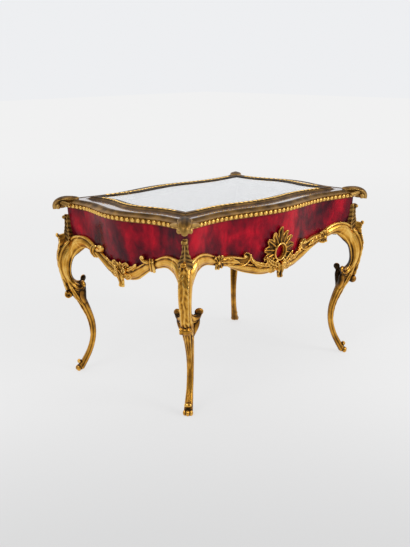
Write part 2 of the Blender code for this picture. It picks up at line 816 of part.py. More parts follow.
def frame_section(_share):
    """Corners of the gilt glazing frame, which sits on the rail and laps over the glass."""
    inner = FRAME_INSET + FRAME_WIDTH
    lip = GLASS_TOP + GAP
    return [
        (FRAME_INSET, RAIL_TOP + GAP),
        (FRAME_INSET, FRAME_TOP - 0.6 * FRAME_OVER),
        (FRAME_INSET + 0.2 * FRAME_WIDTH, FRAME_TOP),
        (FRAME_INSET + 0.6 * FRAME_WIDTH, FRAME_TOP),
        (inner, lip + 0.4 * FRAME_OVER),
        (inner, lip),
        (GLASS_INSET, lip),
        (GLASS_INSET, RAIL_TOP + GAP),
    ]


def make_lid(shop):
    """Rails, edge mouldings, glass and glazing frame."""
    for side in SIDES:
        mitre = 1.0 - GAP / side.half_run
        for name, section, material in (
            ("lid_rail", rail_section, shop.polished),
            ("edge_moulding", edge_section, shop.gilt),
            ("glazing_frame", frame_section, shop.gilt),
        ):
            length = sweep(side, section, mitre, side.columns)
            shop.piece(f"{name}_{side.name}", length, material, on_lid=True)
    edge = GLASS_INSET + GAP
    rings = [
        (edge, LEDGE + GAP),
        (edge, GLASS_TOP - GLASS_BEVEL),
        (edge + GLASS_BEVEL, GLASS_TOP),
    ]
    shop.piece("glass_pane", stack(rings), shop.glass, on_lid=True)


def make_lid_corners(shop):
    """Beaked leaf mounts over the lid's corners."""
    frame = corner_frame(BEAK_HEADING, CASE_TOP, 0.0)
    run = [
        (-0.77, 0.00, 0.65),
        (-0.31, 0.03, 0.83),
        (0.15, 0.17, 1.00),
        (0.60, 0.37, 1.00),
        (0.93, 0.63, 0.78),
        (1.00, 0.80, 0.565),
        (0.88, 1.00, 0.39),
    ]
    path = []
    for outward, drop, radius in run:
        spot = Vector((outward * BEAK_REACH, 0.0, RAIL_TOP - drop * BEAK_DROP))
        path.append((spot, radius * BEAK_RADIUS))
    beak = tube(shop, "beak", path)
    beak.transform(frame @ Matrix.Diagonal((1.0, BEAK_WIDTH_SHARE, 1.0, 1.0)))
    outside = -OVERHANG - BEAD_SWELL - GAP
    rings = [
        (outside, LID_BOTTOM - GAP),
        (outside, LID_BOTTOM + BEAD_HEIGHT + COVE_LIP),
        (COVE_IN, RAIL_TOP + COVE_LIP + GAP),
    ]
    lid_envelope = shop.cutter("lid_envelope", stack(rings))
    mount = united(shop, "mount", [beak], [lid_envelope])
    for name, flips in CORNERS.items():
        shop.piece(f"lid_corner_{name}", mirrored(mount, *flips), shop.gilt, on_lid=True)


def knuckle(low_x, high_x):
    """A stretch of the hinge barrel."""
    return rod((low_x, AXIS_Y, AXIS_Z), (high_x, AXIS_Y, AXIS_Z), KNUCKLE_RADIUS, KNUCKLE_SIDES)


def make_hinges(shop):
    """Two butt hinges: a leaf let into the case, a leaf let into the lid, and a pin."""
    half = HINGE_LENGTH / 2
    half_middle = KNUCKLE_MIDDLE / 2
    inner = AXIS_Y - KNUCKLE_RADIUS - LEAF_LENGTH
    back_rail = bpy.data.objects["case_rail_back"]
    back_shell = bpy.data.objects["shell_panel_back"]
    lid_rail = bpy.data.objects["lid_rail_back"]
    lid_edge = bpy.data.objects["edge_moulding_back"]
    for name, x in (("left", -HINGE_X), ("right", HINGE_X)):
        low, high = x - half, x + half
        drill = rod((low - half, AXIS_Y, AXIS_Z), (high + half, AXIS_Y, AXIS_Z), PIN_RADIUS + GAP,
                    KNUCKLE_SIDES)
        bore = shop.cutter(f"bore_{name}", drill)
        notch = shop.cutter(f"notch_{name}", box(
            (x - half_middle - GAP, AXIS_Y - KNUCKLE_RADIUS - GAP, AXIS_Z - 2 * KNUCKLE_RADIUS),
            (x + half_middle + GAP, AXIS_Y + 2 * KNUCKLE_RADIUS, CASE_TOP + GAP)))
        plate = box((low, inner, CASE_TOP - LEAF_THICK), (high, AXIS_Y, CASE_TOP))
        barrels = [knuckle(low, x - half_middle - GAP), knuckle(x + half_middle + GAP, high)]
        leaf = united(shop, "leaf", [plate, *barrels], [notch, bore])
        shop.piece(f"hinge_{name}_case_leaf", leaf, shop.brass)

        plate = box((low, inner, LID_BOTTOM), (high, AXIS_Y + KNUCKLE_RADIUS, LID_BOTTOM + LEAF_THICK))
        web = box((x - half_middle, AXIS_Y - 0.5 * KNUCKLE_RADIUS, AXIS_Z),
                  (x + half_middle, AXIS_Y + 0.9 * KNUCKLE_RADIUS, LID_BOTTOM + 0.5 * LEAF_THICK))
        leaf = united(shop, "leaf", [plate, web, knuckle(x - half_middle, x + half_middle)], [bore])
        shop.piece(f"hinge_{name}_lid_leaf", leaf, shop.brass, on_lid=True)

        turn = Matrix.Translation((x, AXIS_Y, AXIS_Z)) @ Matrix.Rotation(math.pi / 2, 4, "Y")
        end = half + GAP
        profile = [
            (0.0, end + PIN_HEAD), (KNUCKLE_RADIUS, end + 0.5 * PIN_HEAD), (KNUCKLE_RADIUS, end),
            (PIN_RADIUS, end), (PIN_RADIUS, -end), (KNUCKLE_RADIUS, -end),
            (KNUCKLE_RADIUS, -end - 0.5 * PIN_HEAD), (0.0, -end - PIN_HEAD),
        ]
        shop.piece(f"hinge_{name}_pin", turned(shop, "pin", profile, turn), shop.brass)

        bed = shop.cutter(f"case_bed_{name}", box(
            (low - GAP, inner - GAP, CASE_TOP - LEAF_THICK - GAP), (high + GAP, AXIS_Y, LID_BOTTOM)))
        shape_by(back_rail, bed, "DIFFERENCE")
        shape_by(back_shell, bed, "DIFFERENCE")
        bed = shop.cutter(f"lid_bed_{name}", box(
            (low - GAP, inner - GAP, CASE_TOP),
            (high + GAP, AXIS_Y + KNUCKLE_RADIUS, LID_BOTTOM + LEAF_THICK + GAP)))
        shape_by(lid_rail, bed, "DIFFERENCE")
        shape_by(lid_edge, bed, "DIFFERENCE")


def main():
    """Build the vitrine."""
    shop = Workshop()
    envelope = case_envelope(shop)
    make_walls(shop)
    make_floor(shop)
    make_aprons(shop)
    make_ornaments(shop)
    make_legs(shop, envelope)
    make_chutes(shop, envelope)
    make_lid(shop)
    make_lid_corners(shop)
    make_hinges(shop)


main()
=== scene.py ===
"""Looks of a table-top jewel vitrine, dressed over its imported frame.

Ornament is drawn flat in millimetres, bent onto the serpentine case or into a leg's plane, and fused into one
casting per piece. X runs along the case, the front faces -Y and Z is up.
"""

import logging
import math
from dataclasses import dataclass, field
from enum import Enum
from typing import Callable, Sequence

import bmesh
import bpy
import numpy as np
from mathutils import Matrix, Vector


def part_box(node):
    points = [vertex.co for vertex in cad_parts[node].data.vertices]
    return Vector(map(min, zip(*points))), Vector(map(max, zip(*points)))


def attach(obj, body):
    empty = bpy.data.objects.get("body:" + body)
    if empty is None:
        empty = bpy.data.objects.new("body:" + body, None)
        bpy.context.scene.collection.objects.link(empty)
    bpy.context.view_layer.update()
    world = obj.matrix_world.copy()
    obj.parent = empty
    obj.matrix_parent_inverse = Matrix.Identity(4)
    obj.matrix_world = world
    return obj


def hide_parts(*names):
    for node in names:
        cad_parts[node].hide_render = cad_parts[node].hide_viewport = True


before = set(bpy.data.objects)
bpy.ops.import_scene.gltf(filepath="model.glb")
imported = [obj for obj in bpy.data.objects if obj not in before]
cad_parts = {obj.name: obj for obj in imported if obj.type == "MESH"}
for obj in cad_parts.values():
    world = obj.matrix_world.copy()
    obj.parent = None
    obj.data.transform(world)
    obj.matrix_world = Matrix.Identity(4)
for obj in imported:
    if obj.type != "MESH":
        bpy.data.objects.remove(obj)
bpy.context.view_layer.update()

logging.basicConfig(level=logging.INFO, format="%(message)s")
LOG = logging.getLogger("jewel_vitrine")

MM = 0.001
# Edges that turn by more than this stay sharp.
ARRIS = math.radians(35)

Place = Callable[[float, float, float], Vector]
Relief = Callable[[float, float], float]
Knot = tuple[float, float, float]
Spot = tuple[float, float]
Colour = tuple[float, float, float]
Mesh = bpy.types.Mesh
Socket = bpy.types.NodeSocket
Feed = Socket | float | Sequence[float]


class Body(Enum):
    """The two bodies of the vitrine."""

    CASE = "case"
    LID = "lid"


class Corner(Enum):
    """The corners, as the signs of their X and Y."""

    FRONT_LEFT = (-1, -1)
    FRONT_RIGHT = (1, -1)
    BACK_LEFT = (-1, 1)
    BACK_RIGHT = (1, 1)

    @property
    def word(self) -> str:
        """The corner's name as the nodes use it."""
        return self.name.lower()


class Section(Enum):
    """Cross sections of cast bands: height shares from the inner edge to the outer one."""

    FLUTED = ((-1.0, 0.22), (-0.93, 0.48), (-0.83, 0.53), (-0.72, 0.44), (-0.46, 0.80), (-0.12, 1.00),
              (0.22, 0.94), (0.48, 0.68), (0.59, 0.50), (0.70, 0.64), (0.86, 0.64), (1.0, 0.28))
    ROLL = ((-1.0, 0.30), (-0.80, 0.66), (-0.45, 0.94), (0.0, 1.00), (0.45, 0.94), (0.80, 0.66), (1.0, 0.30))
    RIMMED = ((-1.0, 0.40), (-0.82, 0.96), (-0.62, 0.88), (-0.45, 0.56), (0.0, 0.50), (0.45, 0.56),
              (0.62, 0.88), (0.82, 0.96), (1.0, 0.40))

    def share(self, across: float) -> float:
        """The height share at a place from -1 to 1 across the band."""
        return float(np.interp(across, *zip(*self.value)))

    def relief(self, start: float, end: float) -> Relief:
        """The stand of a band with this section, from its thickness at the start to that at its end."""
        return lambda share, spot: (start + (end - start) * share) * self.share(spot)


@dataclass(frozen=True)
class Side:
    """One side of the case, in metres.

    Attributes:
        name: Its name in the nodes.
        along_x: Whether it runs along X.
        sign: The sign of the axis that it faces along.
        half_run: Half its length between the corners.
        half_out: Distance of its corners from the middle of the case.
        neck: Distance from its middle to where the serpentine draws in most.
        neck_dip: How far it draws in there.
        bulge: How far its middle stands out.
        draw: How much less it stands out at the apron's lowest point.
        shoulder: Distance from its middle to where the apron begins to fall.
        dip: Distance from its middle to where the apron has fallen.
    """

    name: str
    along_x: bool
    sign: int
    half_run: float
    half_out: float
    neck: float
    neck_dip: float
    bulge: float
    draw: float
    shoulder: float
    dip: float


@dataclass(frozen=True)
class CasePlan:
    """The outline that case, lid and mounts follow, in metres."""

    corner_x: float = 0.167
    corner_y: float = 0.1156
    top: float = 0.2352
    taper: float = 0.06
    apron_bottom: float = 0.185
    apron_drop: float = 0.0295
    apron_lap: float = 0.002
    lid_bottom: float = 0.2355
    rail_width: float = 0.040
    lid_ease: float = 0.40

    def side(self, name: str) -> Side:
        """One of the four sides by name."""
        sign = -1 if name in ("front", "left") else 1
        if name in ("front", "back"):
            return Side(name, True, sign, self.corner_x, self.corner_y, neck=0.100, neck_dip=0.0070,
                        bulge=0.0055, draw=0.0035, shoulder=0.110, dip=0.025)
        return Side(name, False, sign, self.corner_y, self.corner_x, neck=0.080, neck_dip=0.0015,
                    bulge=0.0140, draw=0.0130, shoulder=0.080, dip=0.008)

    def lean(self, height: float) -> float:
        """How far the case has drawn in at a height below its top."""
        return self.taper * max(self.top - height, 0.0)

    def swell(self, side: Side, share: float, height: float) -> float:
        """How far a side stands out from the line between its corners."""
        distance = min(abs(share), 1.0) * side.half_run
        if distance <= side.neck:
            wave = math.cos(math.pi / 2 * distance / side.neck) ** 2
            fall = max(self.top - height, 0.0) / (self.top - self.apron_bottom + self.apron_drop)
            return (side.bulge - side.draw * fall + side.neck_dip) * wave - side.neck_dip
        rest = (distance - side.neck) / (side.half_run - side.neck)
        return -side.neck_dip * math.cos(math.pi / 2 * rest) ** 2

    def place(self, side: Side, share: float, depth: float, height: float) -> Vector:
        """A point of a side.

        Args:
            side: The side.
            share: Place along it, from -1 to 1 between the mitred corners.
            depth: Distance inside the face; negative stands out.
            height: Height above the floor.

        Returns:
            The point in the frame.
        """
        inset = depth + self.lean(height)
        ease = 1.0
        if height >= self.lid_bottom and depth > 0.0:
            ease = 1.0 - self.lid_ease * depth / self.rail_width
        along = share * (side.half_run - inset)
        out = side.sign * (side.half_out - inset + ease * self.swell(side, share, height))
        return Vector((along, out, height)) if side.along_x else Vector((out, along, height))

    def apron_low(self, side: Side, run: float) -> float:
        """Height of the apron's lower edge at a distance from the side's middle."""
        fall = min(max((side.shoulder - abs(run)) / (side.shoulder - side.dip), 0.0), 1.0)
        return self.apron_bottom - self.apron_drop * math.sin(math.pi / 2 * fall) ** 2

    def wall(self, side: Side) -> Place:
        """A bender that lays drawings (along, height, stand), in millimetres, on a side."""
        def lay(along: float, height: float, stand: float) -> Vector:
            """Lay one point on the side."""
            return self.place(side, along * MM / side.half_run, -stand * MM, height * MM)

        return lay


PLAN = CasePlan()
SIDES = tuple(PLAN.side(name) for name in ("front", "back", "left", "right"))
FRONT, BACK, LEFT, RIGHT = SIDES


class Wiring:
    """A node tree with short calls that add and link its nodes."""

    def __init__(self, tree: bpy.types.NodeTree) -> None:
        """Take the tree."""
        self.tree = tree

    def add(self, kind: str, feeds: dict[str | int, Feed] | None = None, **settings: object
            ) -> bpy.types.Node:
        """Add a node.

        Args:
            kind: Its type.
            feeds: Sockets to link or values to set, by the name or number of the input.
            settings: Its properties.

        Returns:
            The node.
        """
        node = self.tree.nodes.new(kind)
        for name, value in settings.items():
            setattr(node, name, value)
        for label, value in (feeds or {}).items():
            self.feed(node.inputs[label], value)
        return node

    def feed(self, target: Socket, value: Feed) -> None:
        """Link a socket to an input, or set the input to a value."""
        if isinstance(value, Socket):
            self.tree.links.new(value, target)
        else:
            target.default_value = value

    def math(self, operation: str, *values: Feed) -> Socket:
        """The result of a calculation with one to three values."""
        return self.add("ShaderNodeMath", dict(enumerate(values)), operation=operation).outputs[0]

    def spread(self, source: Socket, old: Sequence[Feed], new: Sequence[Feed], kind: str = "LINEAR"
               ) -> Socket:
        """A value moved from one range to another, held at its ends."""
        labels = ("Value", "From Min", "From Max", "To Min", "To Max")
        feeds = dict(zip(labels, (source, *old, *new)))
        return self.add("ShaderNodeMapRange", feeds, interpolation_type=kind).outputs["Result"]


class Shader(Wiring):
    """A Principled material with short calls for what the finishes share."""

    def __init__(self, name: str) -> None:
        """Start the material."""
        self.material = bpy.data.materials.new(name)
        self.material.use_nodes = True
        super().__init__(self.material.node_tree)
        self.surface = self.tree.nodes["Principled BSDF"]
        self.spot = self.add("ShaderNodeTexCoord").outputs["Object"]

    def noise(self, scale: float, detail: float = 3.0, stretch: Knot = (1.0, 1.0, 1.0), twist: float = 0.0
              ) -> Socket:
        """Noise on Object coordinates, with features 1/scale metres across."""
        spot = self.add("ShaderNodeMapping", {"Vector": self.spot, "Scale": stretch}).outputs["Vector"]
        feeds = {"Vector": spot, "Scale": scale, "Detail": detail, "Distortion": twist}
        return self.add("ShaderNodeTexNoise", feeds).outputs["Fac"]

    def ramp(self, source: Socket, stops: Sequence[tuple[float, Colour]]) -> Socket:
        """Colours along a value."""
        node = self.add("ShaderNodeValToRGB", {"Fac": source})
        while len(node.color_ramp.elements) < len(stops):
            node.color_ramp.elements.new(1.0)
        for element, (spot, colour) in zip(node.color_ramp.elements, stops):
            element.position = spot
            element.color = (*colour, 1.0)
        return node.outputs["Color"]

    def multiplied(self, first: Socket, second: Socket, share: float) -> Socket:
        """A colour darkened by another one, by a share."""
        feeds = {"Factor": share, 6: first, 7: second}
        return self.add("ShaderNodeMix", feeds, data_type="RGBA", blend_type="MULTIPLY").outputs[2]

    def attribute(self, name: str) -> Socket:
        """A value stored on the mesh."""
        return self.add("ShaderNodeAttribute", attribute_name=name).outputs["Fac"]

    def paint(self, **feeds: Feed) -> None:
        """Feed the surface's inputs, by their names with underscores."""
        for name, value in feeds.items():
            self.feed(self.surface.inputs[name.replace("_", " ")], value)

    def bump(self, height: Socket, strength: float, distance: float) -> None:
        """Roughen the surface by a height value."""
        feeds = {"Height": height, "Strength": strength, "Distance": distance}
        self.paint(Normal=self.add("ShaderNodeBump", feeds).outputs["Normal"])


@dataclass(frozen=True)
class Finish:
    """A finish: its material's name and the record's slot it belongs to."""

    name: str
    slot: str

    def material(self) -> bpy.types.Material:
        """The finish's material, mixed once."""
        known = bpy.data.materials.get(self.name)
        if known:
            return known
        shader = Shader(self.name)
        self.mix(shader)
        return shader.material

    def mix(self, shader: Shader) -> None:
        """Wire the material; each finish has its own way."""
        raise NotImplementedError


@dataclass(frozen=True)
class GiltBronze(Finish):
    """Mercury-gilt bronze: worn bright on what stands out, brown in the hollows."""

    deep: Colour = (0.040, 0.022, 0.009)
    aged: Colour = (0.290, 0.126, 0.020)
    gold: Colour = (0.715, 0.345, 0.045)
    bright: Colour = (0.970, 0.610, 0.160)
    roughness: tuple[float, float] = (0.52, 0.25)

    def mix(self, shader: Shader) -> None:
        """Wire the material: the stored cavity, clouded, picks tone and polish."""
        # On the legs and the aprons' joints the stored cavity also carries painted shade and painted
        # highlights.
        grime_and_shade = shader.math("MULTIPLY_ADD", shader.noise(70.0, detail=5.0), 0.62, shader.attribute("cavity"))
        worn = shader.spread(grime_and_shade, (0.34, 1.26), (0.0, 1.0))
        stops = ((0.16, self.deep), (0.38, self.aged), (0.58, self.gold), (0.88, self.bright))
        shader.paint(Base_Color=shader.ramp(worn, stops), Metallic=1.0,
                     Roughness=shader.spread(worn, (0.2, 0.8), self.roughness))
        shader.bump(shader.noise(900.0), strength=0.22, distance=0.0004)


@dataclass(frozen=True)
class Tortoiseshell(Finish):
    """Red-backed tortoiseshell: dark clouds over crimson under a polished skin."""

    dark: Colour = (0.040, 0.002, 0.007)
    wine: Colour = (0.125, 0.002, 0.010)
    crimson: Colour = (0.270, 0.002, 0.013)
    scarlet: Colour = (0.520, 0.004, 0.019)

    def mix(self, shader: Shader) -> None:
        """Wire the material: clouds and flecks, darker low down, with painted shade on the short sides."""
        clouds = shader.noise(28.0, detail=5.0, stretch=(1.0, 1.0, 0.55), twist=0.5)
        flecks = shader.noise(120.0, detail=3.0, stretch=(1.0, 1.0, 0.7), twist=0.4)
        both = shader.math("MULTIPLY_ADD", flecks, 0.34, clouds)
        apart = shader.add("ShaderNodeSeparateXYZ", {0: shader.spot}).outputs
        low = shader.spread(apart["Z"], (0.165, 0.215), (-0.13, 0.0))
        # Painted shade: the short sides at the case's ends are darkened, as they get less light.
        ends = shader.spread(shader.math("ABSOLUTE", apart["X"]), (0.148, 0.163), (0.0, -0.07))
        depth = shader.math("ADD", shader.math("ADD", both, low), ends)
        mottle_and_shade = shader.spread(depth, (0.41, 0.90), (0.0, 1.0))
        stops = ((0.04, self.dark), (0.34, self.wine), (0.60, self.crimson), (0.92, self.scarlet))
        shader.paint(Base_Color=shader.ramp(mottle_and_shade, stops), Roughness=0.24, Specular_IOR_Level=0.11)
        shader.bump(shader.noise(34.0, detail=2.0, stretch=(1.0, 1.0, 0.14)), strength=0.32, distance=0.004)


@dataclass(frozen=True)
class Veneer(Finish):
    """Straight-grained veneer or solid wood, polished or plain."""

    dark: Colour = (0.060, 0.020, 0.012)
    light: Colour = (0.200, 0.070, 0.040)
    roughness: float = 0.14
    coat: float = 0.8

    def mix(self, shader: Shader) -> None:
        """Wire the material: a broad figure crossed by fine grain, under a coat of polish."""
        figure = shader.noise(9.0, detail=3.0, stretch=(1.0, 5.0, 5.0), twist=1.6)
        grain = shader.noise(60.0, detail=4.0, stretch=(1.0, 9.0, 9.0))
        tone = shader.ramp(figure, ((0.30, self.dark), (0.72, self.light)))
        lines = shader.spread(grain, (0.35, 0.60), (0.55, 1.0))
        shader.paint(Base_Color=shader.multiplied(tone, lines, 0.8), Roughness=self.roughness,
                     Coat_Weight=self.coat, Coat_IOR=2.6, Coat_Roughness=0.04)
        shader.bump(grain, strength=0.06, distance=0.0006)


@dataclass(frozen=True)
class IvorySilk(Finish):
    """Ribbed ivory silk."""

    pale: Colour = (0.935, 0.925, 0.890)
    shade: Colour = (0.850, 0.830, 0.780)
    rib_scale: float = 250.0

    def mix(self, shader: Shader) -> None:
        """Wire the material: fine ribs, faintly clouded."""
        feeds = {"Vector": shader.spot, "Scale": self.rib_scale, "Distortion": 0.5}
        ribs = shader.add("ShaderNodeTexWave", feeds, bands_direction="X").outputs["Fac"]
        weave = shader.ramp(ribs, ((0.0, self.shade), (0.7, self.pale)))
        soft = shader.spread(shader.noise(35.0), (0.3, 0.7), (0.88, 1.0))
        shader.paint(Base_Color=shader.multiplied(weave, soft, 1.0), Roughness=0.62, Sheen_Weight=0.35,
                     Sheen_Roughness=0.35)
        shader.bump(ribs, strength=0.25, distance=0.0003)


@dataclass(frozen=True)
class ClearGlass(Finish):
    """Old plate glass with the faintest ripple."""

    tint: Colour = (0.985, 1.0, 0.992)

    def mix(self, shader: Shader) -> None:
        """Wire the material; its coat strengthens the mirror of the wall behind."""
        shader.paint(Base_Color=(*self.tint, 1.0), Transmission_Weight=1.0, IOR=1.5, Roughness=0.0,
                     Coat_Weight=1.0, Coat_IOR=3.0, Coat_Roughness=0.0)
        shader.bump(shader.noise(14.0, detail=1.0), strength=0.03, distance=0.002)


@dataclass(frozen=True)
class PlainMetal(Finish):
    """Plain brass or steel, lightly brushed and spotted."""

    dull: Colour = (0.36, 0.24, 0.08)
    clean: Colour = (0.72, 0.54, 0.24)

    def mix(self, shader: Shader) -> None:
        """Wire the material: spots that dull both tone and polish."""
        spots = shader.noise(160.0, detail=4.0)
        shader.paint(Base_Color=shader.ramp(spots, ((0.30, self.dull), (0.60, self.clean))), Metallic=1.0,
                     Roughness=shader.spread(spots, (0.3, 0.7), (0.45, 0.24)))
        shader.bump(shader.noise(700.0, detail=2.0, stretch=(0.15, 1.0, 1.0)), strength=0.10, distance=0.0002)


GILT = GiltBronze("gilt_bronze_worn", "gilt_bronze")
SATIN = GiltBronze("gilt_bronze_satin", "gilt_bronze", roughness=(0.56, 0.38))
AGED = GiltBronze("gilt_bronze_browned", "gilt_bronze", deep=(0.030, 0.017, 0.008),
                  aged=(0.120, 0.063, 0.019), gold=(0.290, 0.152, 0.036), bright=(0.540, 0.325, 0.092),
                  roughness=(0.60, 0.44))
SHELL = Tortoiseshell("red_tortoiseshell_polished", "tortoiseshell")
LID_WOOD = Veneer("lid_veneer_polished", "lid_veneer")
CASE_WOOD = Veneer("case_wood_stained", "case_wood", dark=(0.045, 0.018, 0.010), light=(0.150, 0.060, 0.030),
                   roughness=0.45, coat=0.0)
SILK = IvorySilk("ivory_silk_ribbed", "lining_silk")
GLASS = ClearGlass("plate_glass_clear", "glass")
BRASS = PlainMetal("hinge_brass_plain", "hinge_brass")
STEEL = PlainMetal("screw_steel_plain", "screw_steel", dull=(0.22, 0.21, 0.20), clean=(0.52, 0.51, 0.50))


def ripple(turns: float) -> float:
    """A wave between 0 and 1 that crests at each whole turn."""
    return 0.5 + 0.5 * math.cos(2 * math.pi * turns)


def crest(spot: float, width: float) -> float:
    """A smooth ridge of height 1 about 0."""
    return math.exp(-(spot / width) ** 2)


def level(stand: float) -> Relief:
    """A relief that stands the same all over."""
    return lambda share, spot: stand


def spots_across(count: int) -> list[float]:
    """Even places from -1 to 1."""
    return [2.0 * column / (count - 1) - 1.0 for column in range(count)]


def headings(count: int) -> list[float]:
    """Even headings round a circle, in radians."""
    return [2 * math.pi * step / count for step in range(count)]


def shares_along(side: Side, steps: int, short: float) -> list[float]:
    """Even shares along a side that stop short of its corners by a length in metres."""
    reach = 1.0 - short / side.half_run
    return [reach * spot for spot in spots_across(steps + 1)]


def handed(lay: Place, hand: int) -> Place:
    """A bender that lays a drawing as it is, or mirrored about its upright axis when hand is -1."""
    return lambda along, height, stand: lay(hand * along, height, stand)


@dataclass
class Shape:
    """Points and faces of closed bodies that are still separate."""

    points: list[Vector] = field(default_factory=list)
    faces: list[tuple[int, ...]] = field(default_factory=list)

    def skin(self, rows: Sequence[Sequence[Vector]]) -> None:
        """Add a closed body: a skin over rows of points, joined round each row and capped at both ends."""
        start, wide = len(self.points), len(rows[0])
        for row in rows:
            self.points.extend(row)
        end = len(self.points)
        for line in range(start, end - wide, wide):
            for column in range(wide):
                near, aside = line + column, line + (column + 1) % wide
                self.faces.append((near, aside, aside + wide, near + wide))
        self.faces.append(tuple(range(start + wide - 1, start - 1, -1)))
        self.faces.append(tuple(range(end - wide, end)))

    def mesh(self, name: str) -> Mesh:
        """The shape as a mesh with outward faces."""
        data = bpy.data.meshes.new(name)
        data.from_pydata(self.points, [], self.faces)
        work = bmesh.new()
        work.from_mesh(data)
        bmesh.ops.recalc_face_normals(work, faces=work.faces)
        work.to_mesh(data)
        work.free()
        return data


def smooth(knots: Sequence[Sequence[float]], steps: int) -> np.ndarray:
    """Points on a smooth curve through knots.

    Args:
        knots: The points that the curve passes, of any number of values each.
        steps: Number of steps along the whole curve.

    Returns:
        One row for each point, from the first knot to the last.
    """
    spots = np.asarray(knots, float)
    ends = np.vstack([2 * spots[0] - spots[1], spots, 2 * spots[-1] - spots[-2]])
    rows = []
    for place in np.linspace(0.0, len(spots) - 1.0, steps + 1):
        span = min(int(place), len(spots) - 2)
        t = place - span
        before, first, second, after = ends[span:span + 4]
        rows.append(0.5 * (2 * first + (second - before) * t
                           + (2 * before - 5 * first + 4 * second - after) * t ** 2
                           + (3 * first - before - 3 * second + after) * t ** 3))
    return np.array(rows)


def across_of(path: np.ndarray) -> np.ndarray:
    """Unit vectors square to a flat path, to its left."""
    run = np.gradient(path[:, :2], axis=0)
    run /= np.maximum(np.linalg.norm(run, axis=1, keepdims=True), 1e-9)
    return np.column_stack([-run[:, 1], run[:, 0]])


def ragged(line: Sequence[Knot], steps: int, lobes: float, depth: float) -> list[Knot]:
    """A smooth line with its half width cut in between lobes.

    Args:
        line: Knots of the line.
        steps: Steps along it.
        lobes: Lobes along each edge.
        depth: Share of the half width that the cuts take.

    Returns:
        One knot for each step.
    """
    return [(out, high, half * (1.0 - depth + depth * abs(math.sin(math.pi * lobes * row / steps))))
            for row, (out, high, half) in enumerate(smooth(line, steps))]


